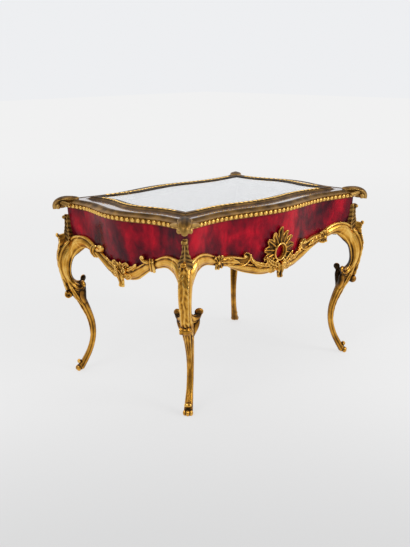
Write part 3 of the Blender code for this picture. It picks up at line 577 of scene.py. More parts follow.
class Casting:
    """Ornament drawn in millimetres, piece by piece, and fused into one casting."""

    # A heading that no bar follows, which turns the rings of bars.
    ring_guide: Knot = (0.90, 0.10, 0.42)

    def __init__(self, name: str, voxel: float) -> None:
        """Start a casting.

        Args:
            name: Name of its mesh.
            voxel: Width of the grid that fuses it, in metres.
        """
        self.name = name
        self.voxel = voxel
        self.shape = Shape()

    def band(self, lay: Place, knots: Sequence[Knot], relief: Relief, steps: int = 40, across: int = 13,
             back: Relief = level(0.4)) -> None:
        """Add a band in the plane of a drawing.

        Args:
            lay: Bends (along, height, stand) to the frame.
            knots: Middle line and half width: (along, height, half).
            relief: Stand of the face at shares (length, across).
            steps: Steps along the band.
            across: Points across its face.
            back: Stand of the back at the same shares.
        """
        path = smooth(knots, steps)
        spots = spots_across(across)
        rows = []
        for row, ((along, height, half), (left, up)) in enumerate(zip(path, across_of(path))):
            ring = []
            for face, order in ((relief, spots), (back, spots[::-1])):
                ring += [lay(along + left * half * spot, height + up * half * spot, face(row / steps, spot))
                         for spot in order]
            rows.append(ring)
        self.shape.skin(rows)

    def ridge(self, lay: Place, knots: Sequence[Knot], relief: Relief, depth: float, steps: int = 40,
              across: int = 11, taper: float = 1.0) -> None:
        """Add a strip that stands on the edge of a drawing: its width runs square to the drawing.

        Args:
            lay: Bends (outward, height, aside) to the frame.
            knots: Line of its seat and half width: (outward, height, half).
            relief: Stand from the seat at shares (length, across).
            depth: Depth of its back below the seat.
            steps: Steps along the strip.
            across: Points across its face.
            taper: Width of its back as a share of its face.
        """
        path = smooth(knots, steps)
        spots = spots_across(across)
        rows = []
        for row, ((outward, height, half), (left, up)) in enumerate(zip(path, across_of(path))):
            face = [(relief(row / steps, spot), half * spot) for spot in spots]
            back = [(-depth, taper * half * spot) for spot in spots[::-1]]
            rows.append([lay(outward + left * stand, height + up * stand, aside)
                         for stand, aside in face + back])
        self.shape.skin(rows)

    def rope(self, lay: Place, knots: Sequence[Sequence[float]], steps: int = 36, sides: int = 14) -> None:
        """Add a round bar along a line in space.

        Args:
            lay: Bends the drawing to the frame.
            knots: Middle line and radius: (along, height, stand, radius).
            steps: Steps along the bar.
            sides: Points round it.
        """
        path = smooth(knots, steps)
        rows = []
        for row in range(steps + 1):
            run = path[min(row + 1, steps), :3] - path[max(row - 1, 0), :3]
            first = np.cross(run, self.ring_guide)
            first /= np.linalg.norm(first)
            second = np.cross(run, first)
            second /= np.linalg.norm(second)
            middle, radius = path[row, :3], path[row, 3]
            rows.append([lay(*(middle + radius * (first * math.cos(turn) + second * math.sin(turn))))
                         for turn in headings(sides)])
        self.shape.skin(rows)

    def ball(self, lay: Place, centre: Knot, radii: Knot, sides: int = 14) -> None:
        """Add an oval ball."""
        rows = []
        for line in range(1, sides):
            polar = math.pi * line / sides
            rows.append([lay(centre[0] + radii[0] * math.sin(polar) * math.cos(turn),
                             centre[1] + radii[1] * math.sin(polar) * math.sin(turn),
                             centre[2] + radii[2] * math.cos(polar)) for turn in headings(sides)])
        self.shape.skin(rows)

    def leaf(self, lay: Place, spine: Sequence[Spot], width: float, base: float, high: float, lobes: int = 4,
             lift: float = 0.0, blunt: float = 0.14) -> None:
        """Add a lobed leaf.

        Args:
            lay: Bends the drawing to the frame.
            spine: Points from the leaf's base to its tip.
            width: Half width at its widest.
            base: Stand of its back.
            high: Thickness at its midrib.
            lobes: Lobes along each edge.
            lift: How far the tip curls outward.
            blunt: Half width at the tip, as a share.
        """
        envelope = ((0.0, 0.55), (0.25, 0.95), (0.45, 1.0), (0.75, 0.66), (1.0, blunt))
        steps = 10 * lobes
        knots = []
        for row, (along, height) in enumerate(smooth(spine, steps)):
            share = row / steps
            scallop = 0.70 + 0.30 * abs(math.sin(math.pi * lobes * share)) ** 0.7
            knots.append((along, height, width * np.interp(share, *zip(*envelope)) * scallop))

        def back(share: float, spot: float) -> float:
            """Stand of the leaf's back, which curls outward along its length."""
            return base + lift * share ** 2

        def face(share: float, spot: float) -> float:
            """Stand of the leaf's face: a midrib, and a rib to each lobe."""
            rib = ripple(lobes * share - 0.5 - 0.45 * abs(spot))
            body = 0.50 + 0.22 * (1.0 - abs(spot)) + 0.22 * crest(spot, 0.16) + 0.20 * rib * abs(spot)
            return back(share, spot) + high * body * (1.0 - 0.35 * share)

        self.band(lay, knots, face, steps=steps, back=back)

    def volute(self, lay: Place, centre: Spot, radius: float, width: float, start: float, turns: float,
               base: float, high: float) -> None:
        """Add a scroll that winds in to an eye.

        Args:
            lay: Bends the drawing to the frame.
            centre: The eye.
            radius: Distance from the eye to the middle of the outermost turn.
            width: Half width of the outermost turn.
            start: Heading of the outer end from the eye, in degrees.
            turns: Turns to the eye; negative winds clockwise.
            base: Stand of its back.
            high: Thickness at the eye.
        """
        knots = []
        for share in np.linspace(0.0, 1.0, 17):
            turn = math.radians(start) + 2 * math.pi * turns * share
            reach = radius * (1.0 - 0.72 * share)
            knots.append((centre[0] + reach * math.cos(turn), centre[1] + reach * math.sin(turn),
                          width * (1.0 - 0.55 * share)))

        def face(share: float, spot: float) -> float:
            """Stand of the scroll's rounded face, rising to the eye."""
            return base + high * (0.62 + 0.38 * share) * Section.ROLL.share(spot)

        self.band(lay, knots, face, steps=48, across=9, back=level(base - 0.2))
        self.ball(lay, (*centre, base + 0.55 * high), (0.34 * radius, 0.34 * radius, 0.55 * high))

    def fuse(self) -> Mesh:
        """Fuse what was drawn into one skin, ease it, and store how hollow each point lies."""
        thing = placed(self.name, self.shape.mesh(self.name))
        modify(thing, "REMESH", mode="VOXEL", voxel_size=self.voxel)
        modify(thing, "SMOOTH", factor=0.5, iterations=2)
        data = baked(thing)
        cast_cavity(data, self.voxel)
        LOG.info("cast %s: %d points", self.name, len(data.vertices))
        return data


def placed(name: str, data: bpy.types.ID) -> bpy.types.Object:
    """A new object in the scene."""
    thing = bpy.data.objects.new(name, data)
    bpy.context.scene.collection.objects.link(thing)
    return thing


def modify(thing: bpy.types.Object, kind: str, **settings: object) -> bpy.types.Modifier:
    """Add a modifier and set its properties."""
    change = thing.modifiers.new(kind.lower(), kind)
    for name, value in settings.items():
        setattr(change, name, value)
    return change


def baked(thing: bpy.types.Object) -> Mesh:
    """The mesh of an object with its modifiers applied; the object is removed."""
    depsgraph = bpy.context.evaluated_depsgraph_get()
    data = bpy.data.meshes.new_from_object(thing.evaluated_get(depsgraph))
    data.name = thing.name
    bpy.data.objects.remove(thing)
    data.shade_smooth()
    return data


def rows_of(items: bpy.types.bpy_prop_collection, name: str, width: int, kind: type = np.float32
            ) -> np.ndarray:
    """One property of all points or edges of a mesh, a row for each."""
    flat = np.empty(len(items) * width, kind)
    items.foreach_get(name, flat)
    return flat.reshape(-1, width)


def store_cavity(data: Mesh, values: np.ndarray) -> None:
    """Store a cavity value for each point: 0 in hollows, 0.5 on plain faces, 1 on what stands out."""
    data.attributes.new("cavity", "FLOAT", "POINT").data.foreach_set("value", values.astype(np.float32))


def cast_cavity(data: Mesh, unit: float, rounds: int = 14) -> None:
    """Store a cavity that goes by how far each point stands out from the eased mesh.

    Args:
        data: The mesh.
        unit: Length that counts as a deep hollow, in metres.
        rounds: Rounds of easing that say how wide a hollow may be.
    """
    count = len(data.vertices)
    points = rows_of(data.vertices, "co", 3).astype(float)
    first, second = rows_of(data.edges, "vertices", 2, np.int32).T
    links = np.maximum(np.bincount(first, minlength=count) + np.bincount(second, minlength=count), 1)
    eased = points.copy()
    for _ in range(rounds):
        total = np.empty_like(eased)
        for axis in range(3):
            total[:, axis] = (np.bincount(first, eased[second, axis], count)
                              + np.bincount(second, eased[first, axis], count))
        eased = total / links[:, None]
    stand = ((points - eased) * rows_of(data.vertices, "normal", 3)).sum(1)
    store_cavity(data, np.clip(0.5 + 0.5 * stand / unit, 0.0, 1.0))


def height_cavity(data: Mesh, *stops: Spot) -> None:
    """Store a cavity that goes by height; stops are (height in millimetres, value)."""
    heights = [point.co.z / MM for point in data.vertices]
    store_cavity(data, np.interp(heights, *zip(*stops)))


def darken(data: Mesh, fall: Callable[[bpy.types.MeshVertex], float]) -> None:
    """Lower the stored cavity by what a rule says for each point."""
    layer = data.attributes["cavity"].data
    for index, point in enumerate(data.vertices):
        layer[index].value -= fall(point)


def tarnish_and_paint_light(data: Mesh, spots: Sequence[Vector], reach: float, amount: float) -> None:
    """Darken a casting round some places, where it is tarnished or where painted shade goes; a negative
    amount paints a highlight.

    Args:
        data: The mesh, with its cavity stored.
        spots: The places.
        reach: Distance at which the darkening ends, in millimetres.
        amount: How much the cavity falls at each place; a negative one brightens.
    """
    def fall(point: bpy.types.MeshVertex) -> float:
        """What one point loses."""
        near = min((point.co - spot).length for spot in spots) / (reach * MM)
        return amount * max(1.0 - near * near, 0.0)

    darken(data, fall)


def mirrored(data: Mesh, flip_x: int, flip_y: int) -> Mesh:
    """A copy of a mesh, mirrored where a flip is -1, with its faces outward."""
    copy = data.copy()
    copy.transform(Matrix.Diagonal((flip_x, flip_y, 1.0, 1.0)))
    if flip_x * flip_y < 0:
        copy.flip_normals()
    return copy


def mount(name: str, data: Mesh, finish: Finish, body: Body, *nodes: str) -> bpy.types.Object:
    """Put a finished mesh on a body.

    Args:
        name: Name of the piece.
        data: Its mesh, already in place.
        finish: Its finish.
        body: The body that it rides on.
        nodes: The nodes that it stands for.

    Returns:
        The piece.
    """
    data.materials.clear()
    data.materials.append(finish.material())
    thing = placed(name, data)
    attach(thing, body.value)
    if nodes:
        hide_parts(*nodes)
    LOG.info("piece %s on %s: %d points", name, body.value, len(data.vertices))
    return thing


def mount_corners(piece: str, node: str, data: Mesh, finish: Finish, body: Body) -> None:
    """Set a mirrored copy of a front left casting at each corner.

    Args:
        piece: Start of the pieces' names.
        node: Start of the names of the nodes that they stand for.
        data: The casting.
        finish: Its finish.
        body: The body that the pieces ride on.
    """
    for corner in Corner:
        x, y = corner.value
        mount(f"{piece}_{corner.word}", mirrored(data, -x, -y), finish, body, f"{node}_{corner.word}")


def mount_pair(word: str, near: Side, data: Mesh) -> None:
    """Set a gilt casting on its side of the case and a mirrored copy on the far one."""
    far, flips = (BACK, (1, -1)) if near.along_x else (RIGHT, (-1, 1))
    for side, shape in ((far, mirrored(data, *flips)), (near, data)):
        mount(f"cast_{word}_{side.name}", shape, GILT, Body.CASE, f"{word}_{side.name}")


def dress_node(name: str, finish: Finish) -> None:
    """Give a node that keeps its own shape a finish."""
    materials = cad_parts[name].data.materials
    materials.clear()
    materials.append(finish.material())
    LOG.info("node %s dressed", name)


@dataclass(frozen=True)
class LegPlane:
    """The plane that a front left leg is drawn in: outward from the case's corner, height, and aside."""

    heading: float = math.radians(36.87)

    def lay(self, outward: float, height: float, aside: float) -> Vector:
        """A point of the leg, from millimetres to the frame; aside is positive toward the front."""
        ahead = Vector((-math.cos(self.heading), -math.sin(self.heading), 0.0))
        across = Vector((math.sin(self.heading), -math.cos(self.heading), 0.0))
        corner = Vector((-PLAN.corner_x, -PLAN.corner_y, height * MM))
        return corner + ahead * (outward * MM) + across * (aside * MM)


@dataclass(frozen=True)
class Crescent:
    """The band that swings from an apron round a knee to the scroll under it.

    It is drawn in (inset, height), with inset measured from the corner inward along a side, and outward along
    the leg where it is negative. Its joint with the apron and the overlap there count in knots.
    """

    knots: tuple[Knot, ...] = (
        (66.0, 185.0, 5.4), (54.0, 189.0, 6.6), (41.0, 192.8, 7.8), (28.0, 193.0, 9.2), (13.0, 187.4, 11.0),
        (1.6, 177.0, 11.9), (-4.8, 164.0, 10.9), (-6.2, 151.0, 8.9), (-4.2, 140.0, 6.9), (0.8, 131.2, 5.8),
        (8.0, 125.8, 5.4), (15.0, 125.0, 4.8), (19.8, 127.6, 3.6), (21.4, 131.2, 2.8))
    joint: float = 3.25
    overlap: float = 0.12
    knee_aside: float = 2.2
    curl: Spot = (21.4, 131.8)
    curl_radius: float = 4.9
    fine: int = 12

    def path(self) -> np.ndarray:
        """The whole band, with the same number of steps between all knots."""
        return smooth(self.knots, self.fine * (len(self.knots) - 1))

    def sag(self, side: Side, inset: float) -> float:
        """How much lower the band hangs on a short side."""
        return 0.0 if side.along_x else 2.2 * float(np.interp(inset, (4.0, 24.0), (0.0, 1.0)))

    def stand(self, share: float) -> float:
        """Thickness of the band along its length."""
        return float(np.interp(share, (0.0, 0.25, 0.42, 0.64, 0.85, 1.0), (6.0, 7.2, 7.2, 5.8, 5.0, 4.4)))

    def bend(self, side: Side) -> Place:
        """The bender for the band on one side of the front left leg."""
        wall = PLAN.wall(side)
        leg = LegPlane()
        hand = 1.0 if side.along_x else -1.0
        half_run = side.half_run / MM

        def lay(inset: float, height: float, stand: float) -> Vector:
            """Bend one point of the band: off its side, and evenly about the leg below the knee."""
            height -= self.sag(side, inset)
            heading = leg.heading
            if not side.along_x:
                heading = float(np.interp(height, (135.0, 165.0), (heading, math.pi / 2 - heading)))
            spread, drawn = math.sin(heading), math.cos(heading)
            inward = max(inset, 0.0)
            aside = math.hypot(spread * inward, self.knee_aside)
            outward = -inset if inset < 0.0 else -drawn * inset
            knee = leg.lay(outward, height, hand * (aside + stand - 0.5))
            hold = np.interp(inset, (6.0, 22.0), (0.0, 1.0)) * np.interp(height, (150.0, 172.0), (0.0, 1.0))
            if hold <= 0.0:
                return knee
            return knee.lerp(wall(inset - half_run, height, stand), float(hold))

        return lay

    def draw(self, casting: Casting, side: Side) -> None:
        """Add the band to a leg's casting, from its joint with the apron to the scroll under the knee."""
        whole = self.path()
        low = round(self.fine * (self.joint - self.overlap))
        span = whole[low:]

        def length(share: float) -> float:
            """Place on the whole band, as a share."""
            return (low + share * (len(span) - 1)) / (len(whole) - 1)

        def face(share: float, spot: float) -> float:
            """Stand of the fluted face."""
            return self.stand(length(share)) * Section.FLUTED.share(-spot)

        def back(share: float, spot: float) -> float:
            """Stand of the back: clear of the panel on the apron, through to the middle at the knee."""
            return float(np.interp(length(share), (0.25, 0.36, 0.78, 1.0), (0.4, -3.4, -3.4, -1.6)))

        casting.band(self.bend(side), span, face, steps=len(span) - 1, across=19, back=back)


CRESCENT = Crescent()


@dataclass
class Legs:
    """Four cast legs: two bands, a leafed ridge, scrolls under the knee, a fluted lower leg and a toe."""

    voxel: float = 0.00052
    ridge_line: tuple[Knot, ...] = (
        (13.6, 197.0, 3.6), (11.4, 189.0, 5.8), (12.8, 180.0, 6.6), (15.0, 170.0, 6.6), (14.8, 160.0, 6.3),
        (13.2, 150.0, 6.0), (10.6, 138.0, 5.8), (7.6, 128.0, 5.8), (5.2, 119.5, 5.4))
    stem_line: tuple[Knot, ...] = (
        (4.0, 138.0, 3.6), (-0.6, 128.0, 5.4), (-5.8, 118.6, 7.4), (-10.6, 110.8, 7.4), (-15.9, 102.0, 5.7),
        (-22.4, 87.0, 4.7), (-27.0, 71.9, 4.3), (-28.2, 56.9, 4.1), (-26.4, 42.6, 4.0), (-21.6, 28.0, 4.1),
        (-15.0, 14.9, 4.4), (-9.0, 4.4, 4.6))
    stem_aside: tuple[Spot, ...] = (
        (4.4, 5.8), (14.9, 5.2), (28.0, 4.5), (42.6, 4.4), (56.9, 4.5), (71.9, 5.0), (87.0, 6.0),
        (103.2, 7.0), (115.4, 7.6), (127.0, 7.6), (142.0, 6.6))
    ridge_lobes: int = 9
    ridge_steps: int = 90
    tip: Knot = (15.2, 197.0, 0.0)
    eye: Spot = (3.2, 113.4)

    def cast(self) -> Mesh:
        """Cast the front left leg."""
        casting = Casting("leg_casting", self.voxel)
        lay = LegPlane().lay
        radius = CRESCENT.curl_radius
        for side in (FRONT, LEFT):
            CRESCENT.draw(casting, side)
            casting.ball(CRESCENT.bend(side), (*CRESCENT.curl, 0.6), (radius, radius, 0.9 * radius))
        for add in (self.knee, self.brackets, self.stem, self.lower, self.toe):
            add(casting, lay)
        return casting.fuse()

    def knee(self, casting: Casting, lay: Place) -> None:
        """Add the leafed ridge, its flared tip and the scroll at its foot."""
        def serrated(share: float, spot: float) -> float:
            """Stand of the ridge: a waved midrib between lobes of uneven depth."""
            midrib = crest(spot - 0.14 * math.sin(19.0 * share), 0.24)
            deep = 0.75 + 0.35 * math.sin(14.0 * share + 2.0 * spot)
            slant = ripple(self.ridge_lobes * share - 0.7 * abs(spot))
            edge = 1.0 - 0.50 * abs(spot) ** 3
            return edge * (1.4 + midrib + deep * slant * (0.35 + 0.65 * abs(spot)))

        path = ragged(self.ridge_line, self.ridge_steps, self.ridge_lobes, depth=0.14)
        casting.ridge(lay, path, serrated, depth=9.0, steps=self.ridge_steps, across=15, taper=0.40)
        casting.ball(lay, self.tip, (2.2, 3.0, 3.6))
        casting.volute(lay, self.eye, radius=4.5, width=1.8, start=60.0, turns=-1.2, base=-6.9, high=13.8)
        casting.ball(lay, (*self.eye, 0.0), (5.9, 5.9, 6.9))

    def brackets(self, casting: Casting, lay: Place) -> None:
        """Add the thick leaf stalk that runs from each inner scroll down into the lower leg."""
        stalk = ((-15.6, 125.0, 11.4, 2.8), (-16.2, 120.0, 10.4, 4.2), (-16.2, 113.5, 8.4, 4.6),
                 (-16.8, 106.0, 5.6, 4.0), (-18.8, 97.5, 2.8, 2.6))
        for hand in (-1, 1):
            casting.rope(lay, [(out, high, hand * aside, radius) for out, high, aside, radius in stalk])

    def stem(self, casting: Casting, lay: Place) -> None:
        """Add the lower leg, with a groove down each flank and a shallow one down its face."""
        path = smooth(self.stem_line, 70)
        rows = []
        for (outward, height, radius), (left, up) in zip(path, across_of(path)):
            wide = float(np.interp(height, *zip(*self.stem_aside)))
            ring = []
            for turn in headings(36):
                ease = 1.06 - 0.15 * crest(math.cos(turn), 0.30) - 0.07 * crest(math.sin(turn), 0.28)
                flat = radius * ease * math.cos(turn)
                ring.append(lay(outward + left * flat, height + up * flat, wide * ease * math.sin(turn)))
            rows.append(ring)
        casting.shape.skin(rows)

    def lower(self, casting: Casting, lay: Place) -> None:
        """Add the leaves that wrap the top of the lower leg and run down its face."""
        def wrapped(share: float, spot: float) -> float:
            """Stand of a long leaf down the leg's outer face."""
            slant = ripple(6 * share - 0.4 * abs(spot))
            return (1.0 - 0.7 * share) * (0.5 + 0.8 * crest(spot, 0.3) + 0.6 * slant * abs(spot))

        outer = ((-7.4, 106.0, 4.0), (-13.4, 93.0, 3.6), (-19.6, 80.0, 3.0), (-23.2, 66.0, 2.4),
                 (-24.2, 54.0, 1.2))
        casting.ridge(lay, outer, wrapped, depth=2.0, steps=50, across=11)
        spine = ((-2.0, 124.0), (-7.6, 114.0), (-13.0, 104.0), (-18.0, 94.0))
        for hand in (-1, 1):
            def flank(outward: float, height: float, stand: float, hand: int = hand) -> Vector:
                """Lay a drawing on one flank of the leg."""
                return lay(outward, height, hand * stand)

            casting.leaf(flank, spine, width=5.0, base=4.6, high=4.2, lobes=3)

    def toe(self, casting: Casting, lay: Place) -> None:
        """Add the three-lobed toe, the instep and the small scroll on it."""
        for aside, out, wide in ((0.0, -4.4, 3.0), (-3.8, -6.0, 2.7), (3.8, -6.0, 2.7)):
            casting.ball(lay, (out, 3.7, aside), (3.4, 4.0, wide))
        casting.ball(lay, (-6.8, 13.4, 0.0), (3.0, 3.0, 5.0))
        casting.ball(lay, (-9.6, 7.4, 0.0), (4.0, 7.0, 5.6))

    def dress(self) -> None:
        """Cast the leg once and set a mirrored copy at each corner."""
        leg = self.cast()
        # The sole stands flat on the floor.
        for point in leg.vertices:
            point.co.z = max(point.co.z, 0.0)
        self.patina(leg)
        mount_corners("cast_leg", "leg", leg, GILT, Body.CASE)

    def patina(self, leg: Mesh) -> None:
        """Paint shade on the leg's curls, stalks and inward knee faces, darken its knee tip, outer scroll and
        worn lower leg, and paint highlights on its bands.
        """
        lay = LegPlane().lay
        bends = [CRESCENT.bend(side) for side in (FRONT, LEFT)]
        band = [bend(inset, height, 5.0) for bend in bends for inset, height, _ in CRESCENT.knots[3:9]]
        tarnish_and_paint_light(leg, [lay(*self.tip)], reach=9.0, amount=0.30)
        # Painted shade on the curls under the knees.
        tarnish_and_paint_light(leg, [bend(*CRESCENT.curl, 0.0) for bend in bends], reach=13.0, amount=0.34)
        # Painted highlight along the bands round the knees.
        tarnish_and_paint_light(leg, band, reach=11.0, amount=-0.13)
        # Painted shade on the stalks under the curls.
        tarnish_and_paint_light(leg, [lay(-18.0, 118.0, aside) for aside in (-11.0, 11.0)], reach=13.0, amount=0.24)
        tarnish_and_paint_light(leg, [lay(4.0, 113.4, aside) for aside in (-4.0, 4.0)], reach=10.0, amount=0.20)
        origin = lay(0.0, 0.0, 0.0)
        inward = (lay(-1.0, -0.35, 0.0) - origin).normalized()
        across = (lay(0.0, 0.0, 1.0) - origin).normalized()

        def inward_shade(point: bpy.types.MeshVertex) -> float:
            """Painted shade that a face of the knee gets where it looks inward or at its other half."""
            aside = (point.co - origin).dot(across)
            facing = -math.copysign(1.0, aside) * point.normal.dot(across) if abs(aside) > 3.0 * MM else 0.0
            turned = max(point.normal.dot(inward) - 0.15, facing - 0.10) / 0.65
            share = float(np.interp(point.co.z / MM, (88.0, 116.0), (0.12, 1.0)))
            return 0.42 * share * min(max(turned, 0.0), 1.0)

        def worn(point: bpy.types.MeshVertex) -> float:
            """What the lower leg and the toe lose, where the gilding is worn to brown."""
            return float(np.interp(point.co.z / MM, (0.0, 30.0, 104.0, 124.0), (0.26, 0.15, 0.11, 0.0)))

        # Painted shade on the knee faces that look inward or at the leg's other half.
        darken(leg, inward_shade)
        darken(leg, worn)


@dataclass
class Chutes:
    """Leafy drops on the case's corners above the knees."""

    voxel: float = 0.0005
    line: tuple[Knot, ...] = (
        (2.2, 225.5, 3.0), (3.0, 219.0, 3.6), (3.0, 212.0, 4.0), (3.4, 206.0, 5.4), (4.2, 201.0, 8.0),
        (5.2, 196.0, 10.4), (6.4, 190.0, 10.0))
    lobes: float = 6.5
    steps: int = 66

    def dress(self) -> None:
        """Cast one chute and set a mirrored copy at each corner."""
        casting = Casting("chute_casting", self.voxel)
        lay = LegPlane().lay
        path = ragged(self.line, self.steps, self.lobes, depth=0.16)

        def leafy(share: float, spot: float) -> float:
            """Stand of the drop: a midrib between lobed edges that lie back along the two walls."""
            slant = ripple(self.lobes * share - 0.75 * abs(spot))
            half = path[round(self.steps * share)][2]
            wrap = (1.15 if spot > 0.0 else 0.70) * half * abs(spot) ** 1.2
            return 1.7 * crest(spot, 0.24) + 1.4 * slant * (0.2 + 0.8 * abs(spot)) - wrap

        casting.ridge(lay, path, leafy, depth=13.0, steps=self.steps, across=17, taper=0.45)
        casting.volute(lay, (5.2, 221.4), radius=2.0, width=1.4, start=180.0, turns=-1.0, base=-3.4, high=6.8)
        casting.ball(lay, (5.0, 221.4, 0.0), (2.6, 2.6, 3.4))
        chute = casting.fuse()
        tarnish_and_paint_light(chute, [lay(0.0, 214.0, 0.0)], reach=40.0, amount=0.05)
        mount_corners("cast_chute", "chute", chute, AGED, Body.CASE)


@dataclass
class Aprons:
    """Gilt scroll work along the lower edge of each side, with sizes in millimetres.

    Near the leg the band keeps its form over the held length, and its tail is drawn out or in to the joint.
    """

    voxel: float = 0.00055
    joint: dict[str, float] = field(default_factory=lambda: {"front": 104.0, "left": 57.0})
    held: float = 25.0
    tail_near: float = 22.0
    tail_length: float = 44.0

    def cast(self, side: Side) -> Mesh:
        """Cast the apron of the front or the left side, drawn from the leg at minus to the middle."""
        casting = Casting(f"apron_casting_{side.name}", self.voxel)
        for hand in (1, -1):
            lay = handed(PLAN.wall(side), hand)
            self.tail(casting, lay, side)
            joint = -self.joint[side.name]
            if side.along_x:
                self.fan(casting, lay, joint)
                self.long_scrolls(casting, lay)
            else:
                self.collar(casting, lay, joint)
                self.short_scrolls(casting, lay)
        return casting.fuse()

    def tail(self, casting: Casting, lay: Place, side: Side) -> None:
        """Add the tail of the knee's band, drawn out to the joint."""
        half_run = side.half_run / MM
        whole = CRESCENT.path()
        last = round(CRESCENT.fine * (CRESCENT.joint + CRESCENT.overlap))
        squeeze = (half_run - self.joint[side.name] - self.tail_near) / self.tail_length
        tail = []
        for inset, height, half in whole[:last + 1]:
            eased = inset if inset < self.held else self.held + (inset - self.held) * squeeze
            tail.append((eased - half_run, height - CRESCENT.sag(side, inset), half))

        def face(share: float, spot: float) -> float:
            """Stand of the fluted tail."""
            return CRESCENT.stand(share * last / (len(whole) - 1)) * Section.FLUTED.share(-spot)

        casting.band(lay, tail, face, steps=len(tail) - 1, across=19)

    def collar(self, casting: Casting, lay: Place, joint: float) -> None:
        """Add the two bars that wrap the joint of band and scroll on a short side."""
        middle = 183.4
        for lean, radius in ((-2.2, 2.6), (2.2, 2.2)):
            spot = joint + lean
            bar = ((spot + 1.4, middle + 8.0, 2.2, radius - 0.6), (spot, middle + 4.0, 5.0, radius),
                   (spot - 0.6, middle - 2.0, 5.4, radius), (spot + 0.4, middle - 8.4, 2.4, radius))
            casting.rope(lay, bar)

    def fan(self, casting: Casting, lay: Place, joint: float) -> None:
        """Add the fanned leaves that wrap the joint of band and scroll on a long side."""
        middle = 184.6
        for fan, tip, low in ((-5.0, 8.6, 7.6), (-0.6, 10.0, 8.8), (4.4, 8.4, 7.4)):
            up = ((joint + 0.4 * fan, middle - 1.0), (joint + 0.7 * fan, middle + 4.0),
                  (joint + 1.5 * fan, middle + tip))
            down = ((joint + 0.5 * fan, middle + 1.0), (joint + 0.8 * fan, middle - 3.6),
                    (joint + 1.3 * fan, middle - low))
            casting.leaf(lay, up, width=3.7, base=3.0, high=5.4, lobes=2, lift=1.0, blunt=0.6)
            casting.leaf(lay, down, width=3.5, base=3.6, high=4.8, lobes=2, lift=0.6, blunt=0.6)
        casting.ball(lay, (joint, middle, 6.0), (3.2, 2.8, 3.0))

    def long_scrolls(self, casting: Casting, lay: Place) -> None:
        """Add the long side's upper scroll with its curl, the lower band and their leaves."""
        upper = ((-105.0, 185.0, 5.8), (-95.0, 184.4, 6.6), (-84.0, 182.8, 7.4), (-72.0, 180.0, 7.4),
                 (-62.0, 178.6, 6.4), (-55.4, 181.0, 4.8), (-54.2, 185.4, 3.5), (-57.8, 188.0, 2.6),
                 (-61.6, 186.6, 2.0))
        casting.band(lay, upper, Section.RIMMED.relief(6.6, 5.4), steps=84, across=17)
        casting.ball(lay, (-60.0, 185.0, 3.4), (2.9, 2.9, 3.4))
        casting.leaf(lay, ((-100.0, 184.8), (-90.0, 183.6), (-79.0, 181.6), (-69.0, 179.2)), width=5.2,
                     base=4.0, high=4.6)
        lower = ((-86.0, 177.6, 2.6), (-74.0, 174.4, 4.8), (-61.0, 170.4, 6.2), (-48.0, 166.8, 6.6),
                 (-35.0, 163.2, 6.4), (-22.0, 161.8, 6.2), (-6.0, 162.6, 6.0))
        casting.band(lay, lower, Section.FLUTED.relief(6.2, 7.6), steps=76, across=19)
        branch = ((-18.0, 166.5), (-30.0, 168.5), (-41.0, 173.0), (-49.0, 180.0))
        casting.leaf(lay, branch, width=4.4, base=2.6, high=5.2, lobes=4, lift=1.2, blunt=0.3)
        twig = ((-42.0, 172.0), (-46.5, 177.0), (-49.6, 182.0), (-50.6, 187.0))
        casting.leaf(lay, twig, width=3.0, base=1.8, high=4.4, lobes=3, lift=1.0, blunt=0.4)

    def short_scrolls(self, casting: Casting, lay: Place) -> None:
        """Add the short side's band, the curl above it and their leaf."""
        main_band = ((-59.0, 184.4, 5.6), (-52.0, 181.8, 6.2), (-44.0, 177.4, 6.8), (-35.0, 172.0, 7.4),
                     (-25.0, 166.6, 7.8), (-13.0, 163.4, 7.2), (0.0, 162.4, 6.4))
        casting.band(lay, main_band, Section.FLUTED.relief(6.4, 6.4), steps=76, across=19)
        curl = ((-56.0, 186.2, 3.6), (-49.0, 185.6, 3.6), (-42.8, 186.8, 3.2), (-39.4, 190.4, 2.6),
                (-41.4, 193.4, 2.0))
        casting.band(lay, curl, Section.ROLL.relief(5.6, 5.6), steps=44, across=11)
        casting.ball(lay, (-42.6, 191.6, 3.2), (2.8, 2.8, 3.2))
        branch = ((-8.0, 168.0), (-17.0, 171.0), (-24.0, 175.0), (-30.0, 181.0))
        casting.leaf(lay, branch, width=4.0, base=1.8, high=4.8, lobes=3, lift=1.0, blunt=0.35)

    def dress(self) -> None:
        """Cast two aprons and set a mirrored copy of each on the far side."""
        for side in (FRONT, LEFT):
            data = self.cast(side)
            joints = [PLAN.wall(side)(hand * self.joint[side.name], 185.0, 5.0) for hand in (-1, 1)]
            # Painted shade round the joints of band and scroll, where the gaps fall dark.
            tarnish_and_paint_light(data, joints, reach=11.0, amount=0.16)
            mount_pair("apron", side, data)


